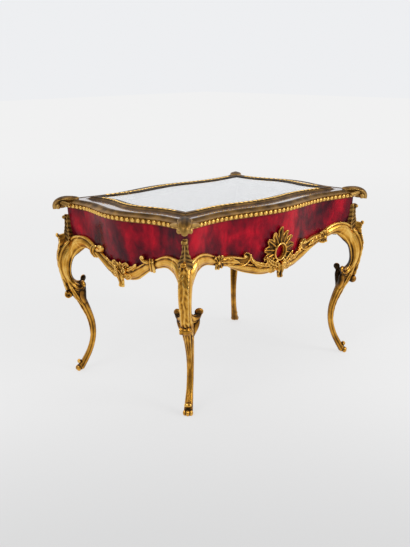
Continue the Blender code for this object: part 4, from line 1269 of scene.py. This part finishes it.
@dataclass
class Cartouches:
    """The pierced and leafed cartouche in the middle of each long side.

    Its rays are leaves round the oval, as (turn from upright in degrees, length, half width).
    """

    voxel: float = 0.00045
    middle: float = 183.0
    oval: Spot = (8.0, 8.6)
    rays: tuple[Knot, ...] = (
        (0.0, 24.0, 6.4), (25.0, 21.0, 6.2), (50.0, 21.0, 6.2), (75.0, 20.0, 6.2), (100.0, 19.0, 5.8),
        (125.0, 16.0, 5.2))

    def cast(self) -> Mesh:
        """Cast the front cartouche."""
        casting = Casting("cartouche_casting", self.voxel)
        lay = PLAN.wall(FRONT)
        for turn, length, width in self.rays:
            for hand in (-1, 1) if turn else (1,):
                self.ray(casting, lay, hand * math.radians(turn), length, width)
        self.ring(casting, lay)
        self.below(casting, lay)
        return casting.fuse()

    def ray(self, casting: Casting, lay: Place, turn: float, length: float, width: float) -> None:
        """Add one leaf that stands out from the ring at a turn from upright."""
        ahead = (math.sin(turn), math.cos(turn))
        start = (self.oval[0] + 1.8) if abs(ahead[0]) > 0.5 else (self.oval[1] + 1.2)
        spine = []
        for share in (0.0, 0.35, 0.7, 1.0):
            reach = start + share * length
            droop = -2.4 * share ** 2 * abs(ahead[0])
            spine.append((ahead[0] * reach, self.middle + ahead[1] * reach + droop))
        casting.leaf(lay, spine, width=width, base=0.9, high=5.6, lobes=2, lift=1.4, blunt=0.42)

    def ring(self, casting: Casting, lay: Place) -> None:
        """Add the oval ring with its raised lip and inner bead."""
        for grow, half, high in ((2.6, 2.0, 7.2), (0.5, 0.7, 4.4)):
            wide, tall = self.oval[0] + grow, self.oval[1] + grow
            knots = [(math.cos(turn) * wide, self.middle + math.sin(turn) * tall, half)
                     for turn in (*headings(48), 2 * math.pi)]
            casting.band(lay, knots, Section.ROLL.relief(high, high), steps=72, across=9, back=level(0.9))

    def below(self, casting: Casting, lay: Place) -> None:
        """Add the two scrolls under the oval, their leaves and the drop."""
        for hand in (-1, 1):
            half = handed(lay, hand)
            casting.volute(half, (6.0, 167.0), radius=4.4, width=2.2, start=100.0, turns=-1.15, base=5.0,
                           high=5.4)
            casting.leaf(half, ((9.0, 166.0), (15.0, 168.0), (21.0, 173.0), (25.5, 180.5)), width=5.6,
                         base=4.4, high=5.4, lobes=5)
            casting.leaf(half, ((8.0, 161.0), (14.0, 159.6), (20.0, 160.6), (25.0, 164.0)), width=3.6,
                         base=5.0, high=4.0, lobes=3)
        drop = ((0.0, 166.0), (0.0, 159.5), (0.0, 153.5), (0.0, 148.4))
        casting.leaf(lay, drop, width=6.0, base=5.0, high=8.4, lobes=2, lift=1.6, blunt=0.80)
        casting.ball(lay, (0.0, 163.5, 8.0), (2.6, 3.0, 2.6))

    def dress(self) -> None:
        """Cast the cartouche and set a mirrored copy at the back."""
        data = self.cast()
        lay = PLAN.wall(FRONT)
        tarnish_and_paint_light(data, [lay(hand * 21.0, 190.0, 0.0) for hand in (-1, 1)], reach=22.0, amount=0.24)
        tarnish_and_paint_light(data, [lay(0.0, 208.0, 0.0), lay(0.0, 149.0, 10.0)], reach=17.0, amount=0.24)
        mount_pair("cartouche", FRONT, data)


@dataclass
class Sprays:
    """The leaf spray with its drop in the middle of each short side."""

    voxel: float = 0.00045

    def cast(self) -> Mesh:
        """Cast the left spray."""
        casting = Casting("spray_casting", self.voxel)
        lay = PLAN.wall(LEFT)
        upper = ((3.0, 169.0), (6.5, 174.0), (11.5, 177.0), (16.0, 176.4))
        lower = ((6.0, 162.0), (11.0, 160.4), (16.0, 161.4), (20.0, 165.0))
        for hand in (-1, 1):
            half = handed(lay, hand)
            casting.volute(half, (6.2, 168.4), radius=3.6, width=1.9, start=90.0, turns=-1.15, base=4.8,
                           high=4.6)
            casting.leaf(half, upper, width=4.2, base=1.4, high=5.4, lobes=2, lift=0.8, blunt=0.5)
            casting.leaf(half, lower, width=4.0, base=4.6, high=4.4, lobes=2, lift=0.8, blunt=0.5)
        drop = ((0.0, 168.0), (0.0, 160.0), (0.0, 152.5), (0.0, 146.0))
        casting.leaf(lay, drop, width=5.8, base=5.0, high=8.0, lobes=2, lift=2.2, blunt=0.85)
        casting.leaf(lay, ((0.0, 168.0), (0.0, 173.0), (0.0, 179.0)), width=4.0, base=1.2, high=5.4, lobes=2,
                     lift=0.6, blunt=0.5)
        casting.ball(lay, (0.0, 166.0, 8.0), (2.6, 3.0, 2.0))
        return casting.fuse()

    def dress(self) -> None:
        """Cast the spray and set a mirrored copy on the right."""
        mount_pair("spray", LEFT, self.cast())


def swept(name: str, rows: Sequence[Sequence[Vector]]) -> Mesh:
    """A closed body over rows of points, smooth along the run and sharp at its arrises."""
    shape = Shape()
    shape.skin(rows)
    data = shape.mesh(name)
    data.shade_smooth()
    data.set_sharp_from_angle(angle=ARRIS)
    return data


def moulding(side: Side, profile: Sequence[Spot], columns: int, gap: float = 0.0002) -> Mesh:
    """Run a closed profile along a side, mitred at both ends.

    Args:
        side: The side.
        profile: Corners as (depth, height) in millimetres.
        columns: Steps along the side.
        gap: Clearance at each mitre, in metres.

    Returns:
        The mesh.
    """
    return swept(f"moulding_{side.name}",
                 [[PLAN.place(side, share, depth * MM, height * MM) for depth, height in profile]
                  for share in shares_along(side, columns, gap)])


def arc(centre: Spot, radius: float, start: float, end: float, steps: int) -> list[Spot]:
    """Points of an arc in a profile, with angles in degrees."""
    turns = [math.radians(start + (end - start) * step / steps) for step in range(steps + 1)]
    return [(centre[0] + radius * math.cos(turn), centre[1] + radius * math.sin(turn)) for turn in turns]


class CopyTree(Wiring):
    """A Geometry Nodes tree that sets copies of a small form on the points or the line of a mesh."""

    labels: dict[str, str] = {}

    def __init__(self, name: str) -> None:
        """Build the tree, with an input for each label and one for the material."""
        super().__init__(bpy.data.node_groups.new(name, "GeometryNodeTree"))
        face = self.tree.interface
        face.new_socket("Seats", in_out="INPUT", socket_type="NodeSocketGeometry")
        self.keys = {}
        for label, kind in (*self.labels.items(), ("Material", "Material")):
            socket = face.new_socket(label, in_out="INPUT", socket_type=f"NodeSocket{kind}")
            self.keys[label] = socket.identifier
        face.new_socket("Copies", in_out="OUTPUT", socket_type="NodeSocketGeometry")
        given = self.add("NodeGroupInput").outputs
        copies = self.add("GeometryNodeInstanceOnPoints", self.wire(given))
        real = self.add("GeometryNodeRealizeInstances", {0: copies.outputs["Instances"]})
        dress = self.add("GeometryNodeSetMaterial", {0: real.outputs[0], "Material": given["Material"]})
        self.add("NodeGroupOutput", {0: dress.outputs[0]})

    def wire(self, given: bpy.types.bpy_prop_collection) -> dict[str, Socket]:
        """Points, form and rotation of the copies; each tree has its own."""
        raise NotImplementedError

    def run(self, name: str, seats: Sequence[Vector], finish: Finish, values: dict[str, object]
            ) -> Mesh:
        """Set the copies and return them as a plain mesh.

        Args:
            name: Name of the mesh.
            seats: The points, or the line through them.
            finish: Finish of the copies.
            values: The other inputs by label.

        Returns:
            The copies in one mesh.
        """
        data = bpy.data.meshes.new(name)
        data.from_pydata(seats, [(step, step + 1) for step in range(len(seats) - 1)], [])
        thing = placed(name, data)
        change = modify(thing, "NODES", node_group=self.tree)
        for label, value in {**values, "Material": finish.material()}.items():
            change[self.keys[label]] = value
        return baked(thing)


class RunOfCopies(CopyTree):
    """Ovals, or splayed pairs of them, set evenly along a line and turned to it."""

    labels = {"Pitch": "Float", "Half Size": "Vector", "Slant": "Float", "Splay": "Float", "Paired": "Bool"}

    def wire(self, given: bpy.types.bpy_prop_collection) -> dict[str, Socket]:
        """Even points on the line, and the oval or the pair that each one gets."""
        line = self.add("GeometryNodeMeshToCurve", {"Mesh": given["Seats"]}).outputs["Curve"]
        length = self.add("GeometryNodeCurveLength", {"Curve": line}).outputs["Length"]
        count = self.math("ROUND", self.math("DIVIDE", length, given["Pitch"]))
        spots = self.add("GeometryNodeCurveToPoints", {"Curve": line, "Count": count}, mode="COUNT").outputs
        turned = self.add("FunctionNodeAlignRotationToVector", {"Vector": spots["Tangent"]}, axis="X",
                          pivot_axis="Z")
        feeds = {"Switch": given["Paired"], "True": self.oval(given, -1.0)}
        second = self.add("GeometryNodeSwitch", feeds, input_type="GEOMETRY")
        pair = self.add("GeometryNodeJoinGeometry", {0: self.oval(given, 1.0)})
        self.feed(pair.inputs[0], second.outputs[0])
        return {"Points": spots["Points"], "Instance": pair.outputs[0],
                "Rotation": turned.outputs["Rotation"]}

    def oval(self, given: bpy.types.bpy_prop_collection, hand: float) -> Socket:
        """One oval: slanted in the upright plane, and splayed to its own hand."""
        ball = self.add("GeometryNodeMeshUVSphere", {"Segments": 8, "Rings": 6, "Radius": 1.0})
        feeds = {"Geometry": ball.outputs["Mesh"], "Scale": given["Half Size"]}
        shaped = self.add("GeometryNodeTransform", feeds).outputs[0]
        splay = self.math("MULTIPLY", given["Splay"], hand)
        turn = self.add("ShaderNodeCombineXYZ", {"Y": given["Slant"], "Z": splay}).outputs[0]
        return self.add("GeometryNodeTransform", {"Geometry": shaped, "Rotation": turn}).outputs[0]


class SlottedScrews(CopyTree):
    """Slotted screw heads, one on each point."""

    labels = {"Radius": "Float", "Height": "Float", "Turn": "Float"}
    slot_size: Knot = (3.0, 0.36, 0.8)
    slot_heading: float = 0.6

    def wire(self, given: bpy.types.bpy_prop_collection) -> dict[str, Socket]:
        """The points, and a disc with a slot cut across it."""
        radius, height = given["Radius"], given["Height"]
        head = self.add("GeometryNodeMeshCylinder", {"Vertices": 24, "Radius": radius, "Depth": height})
        sizes = {axis: self.math("MULTIPLY", radius, size) for axis, size in zip("XYZ", self.slot_size)}
        bar = self.add("GeometryNodeMeshCube", {"Size": self.add("ShaderNodeCombineXYZ", sizes).outputs[0]})
        lift = self.add("ShaderNodeCombineXYZ", {"Z": height}).outputs[0]
        raised = self.add("GeometryNodeTransform", {"Geometry": bar.outputs["Mesh"], "Translation": lift})
        feeds = {0: head.outputs["Mesh"], 1: raised.outputs[0]}
        cut = self.add("GeometryNodeMeshBoolean", feeds, operation="DIFFERENCE")
        tilt = self.add("ShaderNodeCombineXYZ", {"X": given["Turn"], "Z": self.slot_heading})
        return {"Points": given["Seats"], "Instance": cut.outputs["Mesh"], "Rotation": tilt.outputs[0]}


@dataclass
class CaseWalls:
    """Tortoiseshell facings, and the wooden case behind them, in metres."""

    columns: int = 120
    rows: int = 8
    thick: float = 0.0012
    gap: float = 0.0003

    def facing(self, side: Side) -> Mesh:
        """One facing, from its lap over the apron's lower edge to the top of the case."""
        lines = []
        for share in shares_along(side, self.columns, self.gap):
            low = PLAN.apron_low(side, share * side.half_run) + PLAN.apron_lap
            rise = [low + (PLAN.top - low) * row / self.rows for row in range(self.rows + 1)]
            lines.append([PLAN.place(side, share, 0.0, height) for height in rise]
                         + [PLAN.place(side, share, self.thick, height) for height in reversed(rise)])
        return swept(f"facing_{side.name}", lines)

    def dress(self) -> None:
        """Face the four sides and finish the wood."""
        for side in SIDES:
            data = self.facing(side)
            mount(f"shell_facing_{side.name}", data, SHELL, Body.CASE, f"shell_panel_{side.name}")
            dress_node(f"case_rail_{side.name}", CASE_WOOD)
        dress_node("bottom_board", CASE_WOOD)
        for corner in Corner:
            dress_node(f"corner_block_{corner.word}", CASE_WOOD)


@dataclass
class Lid:
    """Polished rails, gadrooned edge, chased glazing frame and glass, in millimetres."""

    columns: int = 110
    low: float = 235.5
    low_back: float = 236.9
    gadroon_pitch: float = 7.8
    husk_pitch: float = 7.4

    def dress(self) -> None:
        """Make the four sides of the lid and finish the glass."""
        copies = RunOfCopies("run_of_copies")
        for side in SIDES:
            self.rail(side)
            self.edge(side, copies)
            self.frame(side, copies)
        dress_node("glass_pane", GLASS)

    def foot(self, side: Side) -> float:
        """Height of a side's underside, which clears the hinge leaves at the back."""
        return self.low_back if side is BACK else self.low

    def rail(self, side: Side) -> None:
        """The veneered rail with its polished flat."""
        foot = self.foot(side)
        profile = [(0.0, foot), (0.0, 241.0), (5.8, 241.0), (5.8, 246.0), (26.5, 246.0), (26.5, 243.7),
                   (40.0, 243.7), (40.0, foot)]
        data = moulding(side, profile, self.columns)
        mount(f"veneered_rail_{side.name}", data, LID_WOOD, Body.LID, f"lid_rail_{side.name}")

    def edge(self, side: Side, copies: RunOfCopies) -> None:
        """The browned cove, its gilt fillets, and the row of gadroons under it."""
        foot = self.foot(side)
        cove = arc((-3.0, 248.9), radius=5.8, start=265.0, end=334.0, steps=9)
        profile = [(-0.3, foot), (-2.9, foot), (-2.9, 242.0), (-4.9, 242.0), (-5.3, 242.4), (-4.9, 242.9),
                   *cove, (2.8, 246.4), (5.5, 246.4), (5.5, 241.3), (-0.3, 241.3)]
        data = moulding(side, profile, self.columns)
        height_cavity(data, (241.0, 0.60), (243.0, 0.54), (244.4, 0.40), (246.4, 0.36))
        mount(f"cove_moulding_{side.name}", data, AGED, Body.LID, f"edge_moulding_{side.name}")
        line = self.line(side, steps=160, short=5.0, depth=-3.3, height=238.8)
        values = {"Pitch": self.gadroon_pitch * MM, "Half Size": (3.15 * MM, 2.4 * MM, 3.1 * MM),
                  "Slant": math.radians(18.0), "Splay": 0.0, "Paired": False}
        data = copies.run(f"gadroons_{side.name}", line, SATIN, values)
        height_cavity(data, (236.0, 0.96), (239.8, 0.90), (241.6, 0.56))
        mount(f"gadroon_row_{side.name}", data, SATIN, Body.LID)

    def frame(self, side: Side, copies: RunOfCopies) -> None:
        """The gilt frame that holds the glass, with a run of splayed husks along its crown."""
        sweep = arc((16.2, 253.7), radius=8.0, start=286.0, end=312.0, steps=5)
        crown = arc((25.6, 245.9), radius=3.9, start=150.0, end=70.0, steps=8)
        lip = [(28.6, 249.3), (31.0, 249.2), (32.4, 248.8), (33.5, 248.7), (33.5, 248.3)]
        profile = [(18.0, 246.05), *sweep, *crown, *lip, (26.5, 248.3), (26.5, 246.3)]
        data = moulding(side, profile, self.columns)
        height_cavity(data, (246.0, 0.26), (247.6, 0.40), (248.4, 0.50), (248.7, 0.10), (249.3, 0.12),
                      (249.7, 0.52))
        mount(f"chased_frame_{side.name}", data, AGED, Body.LID, f"glazing_frame_{side.name}")
        line = self.line(side, steps=120, short=27.0, depth=25.8, height=249.5)
        values = {"Pitch": self.husk_pitch * MM, "Half Size": (3.4 * MM, 1.5 * MM, 0.92 * MM),
                  "Slant": 0.0, "Splay": math.radians(26.0), "Paired": True}
        data = copies.run(f"husks_{side.name}", line, GILT, values)
        store_cavity(data, np.full(len(data.vertices), 0.86))
        mount(f"husk_run_{side.name}", data, GILT, Body.LID)

    @staticmethod
    def line(side: Side, steps: int, short: float, depth: float, height: float) -> list[Vector]:
        """A line along a side, in millimetres, that stops short of its corners."""
        return [PLAN.place(side, share, depth * MM, height * MM)
                for share in shares_along(side, steps, short * MM)]


@dataclass
class LidCorners:
    """Beaked leaf mounts over the lid's corners."""

    voxel: float = 0.00045
    line: tuple[Knot, ...] = (
        (-15.6, 244.9, 3.2), (-13.0, 246.0, 6.2), (-6.0, 246.8, 8.4), (3.0, 246.7, 8.8), (10.3, 244.6, 8.2),
        (14.8, 241.2, 7.0), (16.5, 237.0, 5.4), (16.0, 232.6, 3.4))
    lobes: int = 4
    steps: int = 70

    def dress(self) -> None:
        """Cast one mount and set a mirrored copy on each corner."""
        casting = Casting("beak_casting", self.voxel)
        lay = LegPlane(math.radians(45.0)).lay

        def veined(share: float, spot: float) -> float:
            """Stand of the leaf: a dome with three faint ribs along it and lobed edges."""
            slant = ripple(self.lobes * share - 0.5 * abs(spot))
            ribs = math.cos(3.0 * math.pi * spot) * math.sin(math.pi * min(1.0, 1.15 * share))
            return 0.2 + 3.1 * (1.0 - spot * spot) + 0.14 * ribs + 0.8 * (1.0 - share) * slant * abs(spot)

        path = ragged(self.line, self.steps, self.lobes, depth=0.07)
        casting.ridge(lay, path, veined, depth=5.4, steps=self.steps, across=19, taper=0.8)
        for hand in (-1, 1):
            casting.ball(lay, (10.8, 236.8, 6.4 * hand), (3.6, 3.7, 3.2))
            casting.rope(lay, ((8.0, 242.6, 3.0 * hand, 3.2), (4.0, 241.8, 8.0 * hand, 3.1),
                               (-1.6, 241.0, 12.4 * hand, 2.6), (-6.6, 240.4, 16.2 * hand, 1.8)))
        casting.rope(lay, ((-8.0, 243.0, 0.0, 4.4), (2.0, 241.2, 0.0, 6.4), (8.6, 239.8, 0.0, 6.6),
                           (13.0, 237.4, 0.0, 5.0), (15.4, 233.6, 0.0, 2.6)))
        data = casting.fuse()
        tarnish_and_paint_light(data, [lay(11.6, 235.8, aside) for aside in (-7.6, 7.6)], reach=7.0, amount=-0.40)
        tarnish_and_paint_light(data, [lay(out, high + 2.6, 0.0) for out, high, _ in path[4:44:6]], reach=10.0, amount=0.26)
        mount_corners("cast_beak", "lid_corner", data, AGED, Body.LID)


@dataclass
class Lining:
    """Ivory silk over wadding: a pad on the floor and a strip round the walls, in metres."""

    weld: float = 0.00001
    shrink: Knot = (0.988, 0.984, 0.80)
    voxel: float = 0.0036
    pressure: float = 4.0
    cap: float = 0.0022
    frames: int = 20
    columns: int = 90

    def pad(self) -> None:
        """Blow up the pad as cloth under pressure, within the space that its solid holds."""
        low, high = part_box("lining_pad")
        work = bmesh.new()
        work.from_mesh(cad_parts["lining_pad"].data)
        bmesh.ops.remove_doubles(work, verts=work.verts, dist=self.weld)
        shrink = Matrix.Translation((0.0, 0.0, low.z)) @ Matrix.Diagonal((*self.shrink, 1.0))
        work.transform(shrink @ Matrix.Translation((0.0, 0.0, -low.z)))
        data = bpy.data.meshes.new("pad")
        work.to_mesh(data)
        work.free()
        thing = placed("pad", data)
        modify(thing, "REMESH", mode="VOXEL", voxel_size=self.voxel)
        data = baked(thing)
        data = self.swell(data)
        thing = placed("pad", data)
        modify(thing, "SUBSURF", levels=1)
        data = baked(thing)
        for point in data.vertices:
            point.co.z = min(max(point.co.z, low.z), high.z)
        piece = mount("silk_pad", data, SILK, Body.CASE, "lining_pad")

    def swell(self, data: Mesh) -> Mesh:
        """Run the cloth and keep each point within the cap of where it began."""
        thing = placed("pad_cloth", data)
        scene = bpy.context.scene
        before = [point.co.copy() for point in data.vertices]
        cloth = modify(thing, "CLOTH")
        cloth.settings.use_pressure = True
        cloth.settings.uniform_pressure_force = self.pressure
        cloth.settings.effector_weights.gravity = 0.0
        cloth.point_cache.frame_start = 1
        cloth.point_cache.frame_end = self.frames
        for step in range(1, self.frames + 1):
            scene.frame_set(step)
        swollen = baked(thing)
        scene.frame_set(1)
        for point, old in zip(swollen.vertices, before):
            move = point.co - old
            if move.length > self.cap:
                point.co = old + move * (self.cap / move.length)
        return swollen

    def walls(self) -> None:
        """The strip of lining round the walls."""
        roll = arc((13.1, 232.2), radius=0.8, start=180.0, end=0.0, steps=6)
        profile = [(12.3, 198.6), *roll, (13.8, 198.6)]
        for side in SIDES:
            nodes = ("lining_walls",) if side is FRONT else ()
            data = moulding(side, profile, self.columns, gap=0.0)
            piece = mount(f"silk_wall_{side.name}", data, SILK, Body.CASE, *nodes)

    def dress(self) -> None:
        """Make pad and walls."""
        self.pad()
        self.walls()


@dataclass
class Fittings:
    """Hinges and the screws that hold hinges and legs, in millimetres."""

    hinge_x: float = 45.0
    screw_pitch: float = 9.0
    leaf_y: float = 111.5

    def dress(self) -> None:
        """Finish the hinges and set the screws."""
        screws = SlottedScrews("slotted_screws")
        for hand in ("left", "right"):
            for part in ("case_leaf", "lid_leaf", "pin"):
                dress_node(f"hinge_{hand}_{part}", BRASS)
        places = [sign * self.hinge_x + step * self.screw_pitch for sign in (-1, 1) for step in (-1, 0, 1)]
        for body, height, turn in ((Body.CASE, 235.2, 0.0), (Body.LID, 235.5, math.pi)):
            seats = [Vector((x * MM, self.leaf_y * MM, height * MM)) for x in places]
            values = {"Radius": 1.7 * MM, "Height": 0.2 * MM, "Turn": turn}
            self.screw(screws, f"hinge_screws_{body.value}", seats, BRASS, values, body)
        for corner in Corner:
            low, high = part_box(f"leg_screw_{corner.word}")
            seat = Vector(((low.x + high.x) / 2, (low.y + high.y) / 2, low.z + 0.8 * MM))
            values = {"Radius": 2.6 * MM, "Height": 1.6 * MM, "Turn": math.pi}
            self.screw(screws, f"slotted_screw_{corner.word}", [seat], STEEL, values, Body.CASE,
                       f"leg_screw_{corner.word}")

    @staticmethod
    def screw(screws: SlottedScrews, name: str, seats: Sequence[Vector], finish: Finish,
              values: dict[str, object], body: Body, *nodes: str) -> None:
        """Set screws with sharp edges on points and put them on a body.

        Args:
            screws: The tree that makes them.
            name: Name of the piece.
            seats: The points.
            finish: Its finish.
            values: The tree's inputs by label.
            body: The body that it rides on.
            nodes: The nodes that it stands for.
        """
        data = screws.run(name, seats, finish, values)
        data.set_sharp_from_angle(angle=ARRIS)
        mount(name, data, finish, body, *nodes)


@dataclass
class Studio:
    """Pale floor, soft light and the camera of the photograph."""

    where: Knot = (-0.8186, -0.8034, 0.4298)
    azimuth: float = -44.844
    elevation: float = 14.577
    roll: float = -0.353
    lens: float = 54.69
    sensor: float = 36.0
    floor_size: float = 14.0
    floor_tone: float = 0.80
    floor_white: float = 0.78
    fade_reach: Spot = (0.2, 2.4)
    wall_tone: float = 0.88
    # Painted shade on the floor towards the camera: its darkest tone, its middle and its reach.
    floor_shade_tone: float = 0.64
    floor_shade_spot: Knot = (-0.75, -0.75, 0.0)
    floor_shade_reach: Spot = (0.45, 1.05)
    dim_air: float = 0.55
    dark_room: float = 0.16
    wall_heading: Knot = (0.70, 0.71, 0.0)
    wall_reach: Spot = (-0.35, 0.45)
    aim: Knot = (0.0, 0.0, 0.12)
    lamps: tuple[tuple[str, Knot, float, float], ...] = (
        ("key", (-1.5, -0.4, 1.3), 0.8, 9.2), ("fill", (0.5, -1.7, 1.2), 0.8, 15.0),
        ("top", (0.3, 0.7, 2.0), 2.4, 8.0))

    def floor(self) -> None:
        """A pale floor that fades to the wall's tone far from the object, with painted shade on the camera's
        side.
        """
        data = bpy.data.meshes.new("studio_floor")
        half = self.floor_size / 2
        data.from_pydata([(-half, -half, 0.0), (half, -half, 0.0), (half, half, 0.0), (-half, half, 0.0)], [],
                         [(0, 1, 2, 3)])
        material = bpy.data.materials.new("studio_paper")
        material.use_nodes = True
        nodes = material.node_tree.nodes
        nodes.remove(nodes["Principled BSDF"])
        wiring = Wiring(material.node_tree)
        tone = self.floor_tone
        paper = wiring.add("ShaderNodeBsdfDiffuse", {"Color": (tone, tone, tone * 1.005, 1.0)}).outputs[0]
        spot = wiring.add("ShaderNodeTexCoord").outputs["Object"]
        # Painted shade: the floor's glow falls round a spot on the camera's side, as a falloff of light.
        near = wiring.add("ShaderNodeVectorMath", {0: spot, 1: self.floor_shade_spot}, operation="DISTANCE")
        tones = (self.floor_shade_tone, self.wall_tone)
        shade = wiring.spread(near.outputs["Value"], self.floor_shade_reach, tones, "SMOOTHSTEP")
        far = wiring.add("ShaderNodeEmission", {"Strength": shade}).outputs[0]
        length = wiring.add("ShaderNodeVectorMath", {0: spot}, operation="LENGTH").outputs["Value"]
        fade = wiring.spread(length, self.fade_reach, (self.floor_white, 1.0), "SMOOTHSTEP")
        path = wiring.add("ShaderNodeLightPath").outputs
        clear = wiring.math("MAXIMUM", path["Is Camera Ray"], path["Is Transmission Ray"])
        shown = wiring.math("MAXIMUM", clear, path["Is Glossy Ray"])
        seen = wiring.math("MULTIPLY", shown, fade)
        mix = wiring.add("ShaderNodeMixShader", {"Fac": seen, 1: paper, 2: far})
        wiring.feed(nodes["Material Output"].inputs["Surface"], mix.outputs[0])
        data.materials.append(material)
        placed("studio_floor", data)

    def light(self) -> None:
        """Air that is dim but shows white to the camera, and soft lamps.

        In gloss the air is a white wall behind the case and a dim room on the camera's side.
        """
        world = bpy.data.worlds.new("studio_air")
        bpy.context.scene.world = world
        world.use_nodes = True
        wiring = Wiring(world.node_tree)
        spot = wiring.add("ShaderNodeTexCoord").outputs["Generated"]
        ahead = wiring.add("ShaderNodeVectorMath", {0: spot, 1: self.wall_heading}, operation="DOT_PRODUCT")
        room = wiring.spread(ahead.outputs["Value"], self.wall_reach, (self.dark_room, 1.0), "SMOOTHSTEP")
        path = wiring.add("ShaderNodeLightPath").outputs
        gloss = wiring.spread(path["Is Glossy Ray"], (0.0, 1.0), (self.dim_air, room))
        seen = wiring.math("MAXIMUM", path["Is Camera Ray"], path["Is Transmission Ray"])
        air = world.node_tree.nodes["Background"]
        wiring.feed(air.inputs["Color"], (0.97, 0.98, 1.0, 1.0))
        wiring.feed(air.inputs["Strength"], wiring.spread(seen, (0.0, 1.0), (gloss, self.wall_tone)))
        for lamp in self.lamps:
            self.lamp(*lamp)

    def lamp(self, name: str, where: Knot, size: float, power: float) -> None:
        """A square soft box aimed at the case."""
        data = bpy.data.lights.new(name, "AREA")
        data.size = size
        data.energy = power
        thing = placed(name, data)
        thing.location = where
        thing.rotation_euler = (Vector(self.aim) - Vector(where)).to_track_quat("-Z", "Y").to_euler()

    def camera(self) -> None:
        """The photograph's camera."""
        data = bpy.data.cameras.new("photo_camera")
        data.lens = self.lens
        data.sensor_width = self.sensor
        data.clip_start = 0.01
        thing = placed("photo_camera", data)
        turn, rise = math.radians(self.azimuth), math.radians(self.elevation)
        back = Vector((math.sin(turn) * math.cos(rise), -math.cos(turn) * math.cos(rise), math.sin(rise)))
        upright = (-back).to_track_quat("-Z", "Y").to_matrix()
        thing.matrix_world = (Matrix.Translation(self.where)
                              @ (upright @ Matrix.Rotation(math.radians(self.roll), 3, "Z")).to_4x4())
        bpy.context.scene.camera = thing

    def dress(self) -> None:
        """Set up floor, light, camera and the plain view transform."""
        self.floor()
        self.light()
        self.camera()
        bpy.context.scene.view_settings.view_transform = "Standard"


def main() -> None:
    """Build the vitrine's looks in order."""
    for assembly in (Studio(), CaseWalls(), Lining(), Legs(), Chutes(), Aprons(), Cartouches(), Sprays(),
                     Lid(), LidCorners(), Fittings()):
        assembly.dress()
        LOG.info("done %s", type(assembly).__name__)


if __name__ == "__main__":
    main()
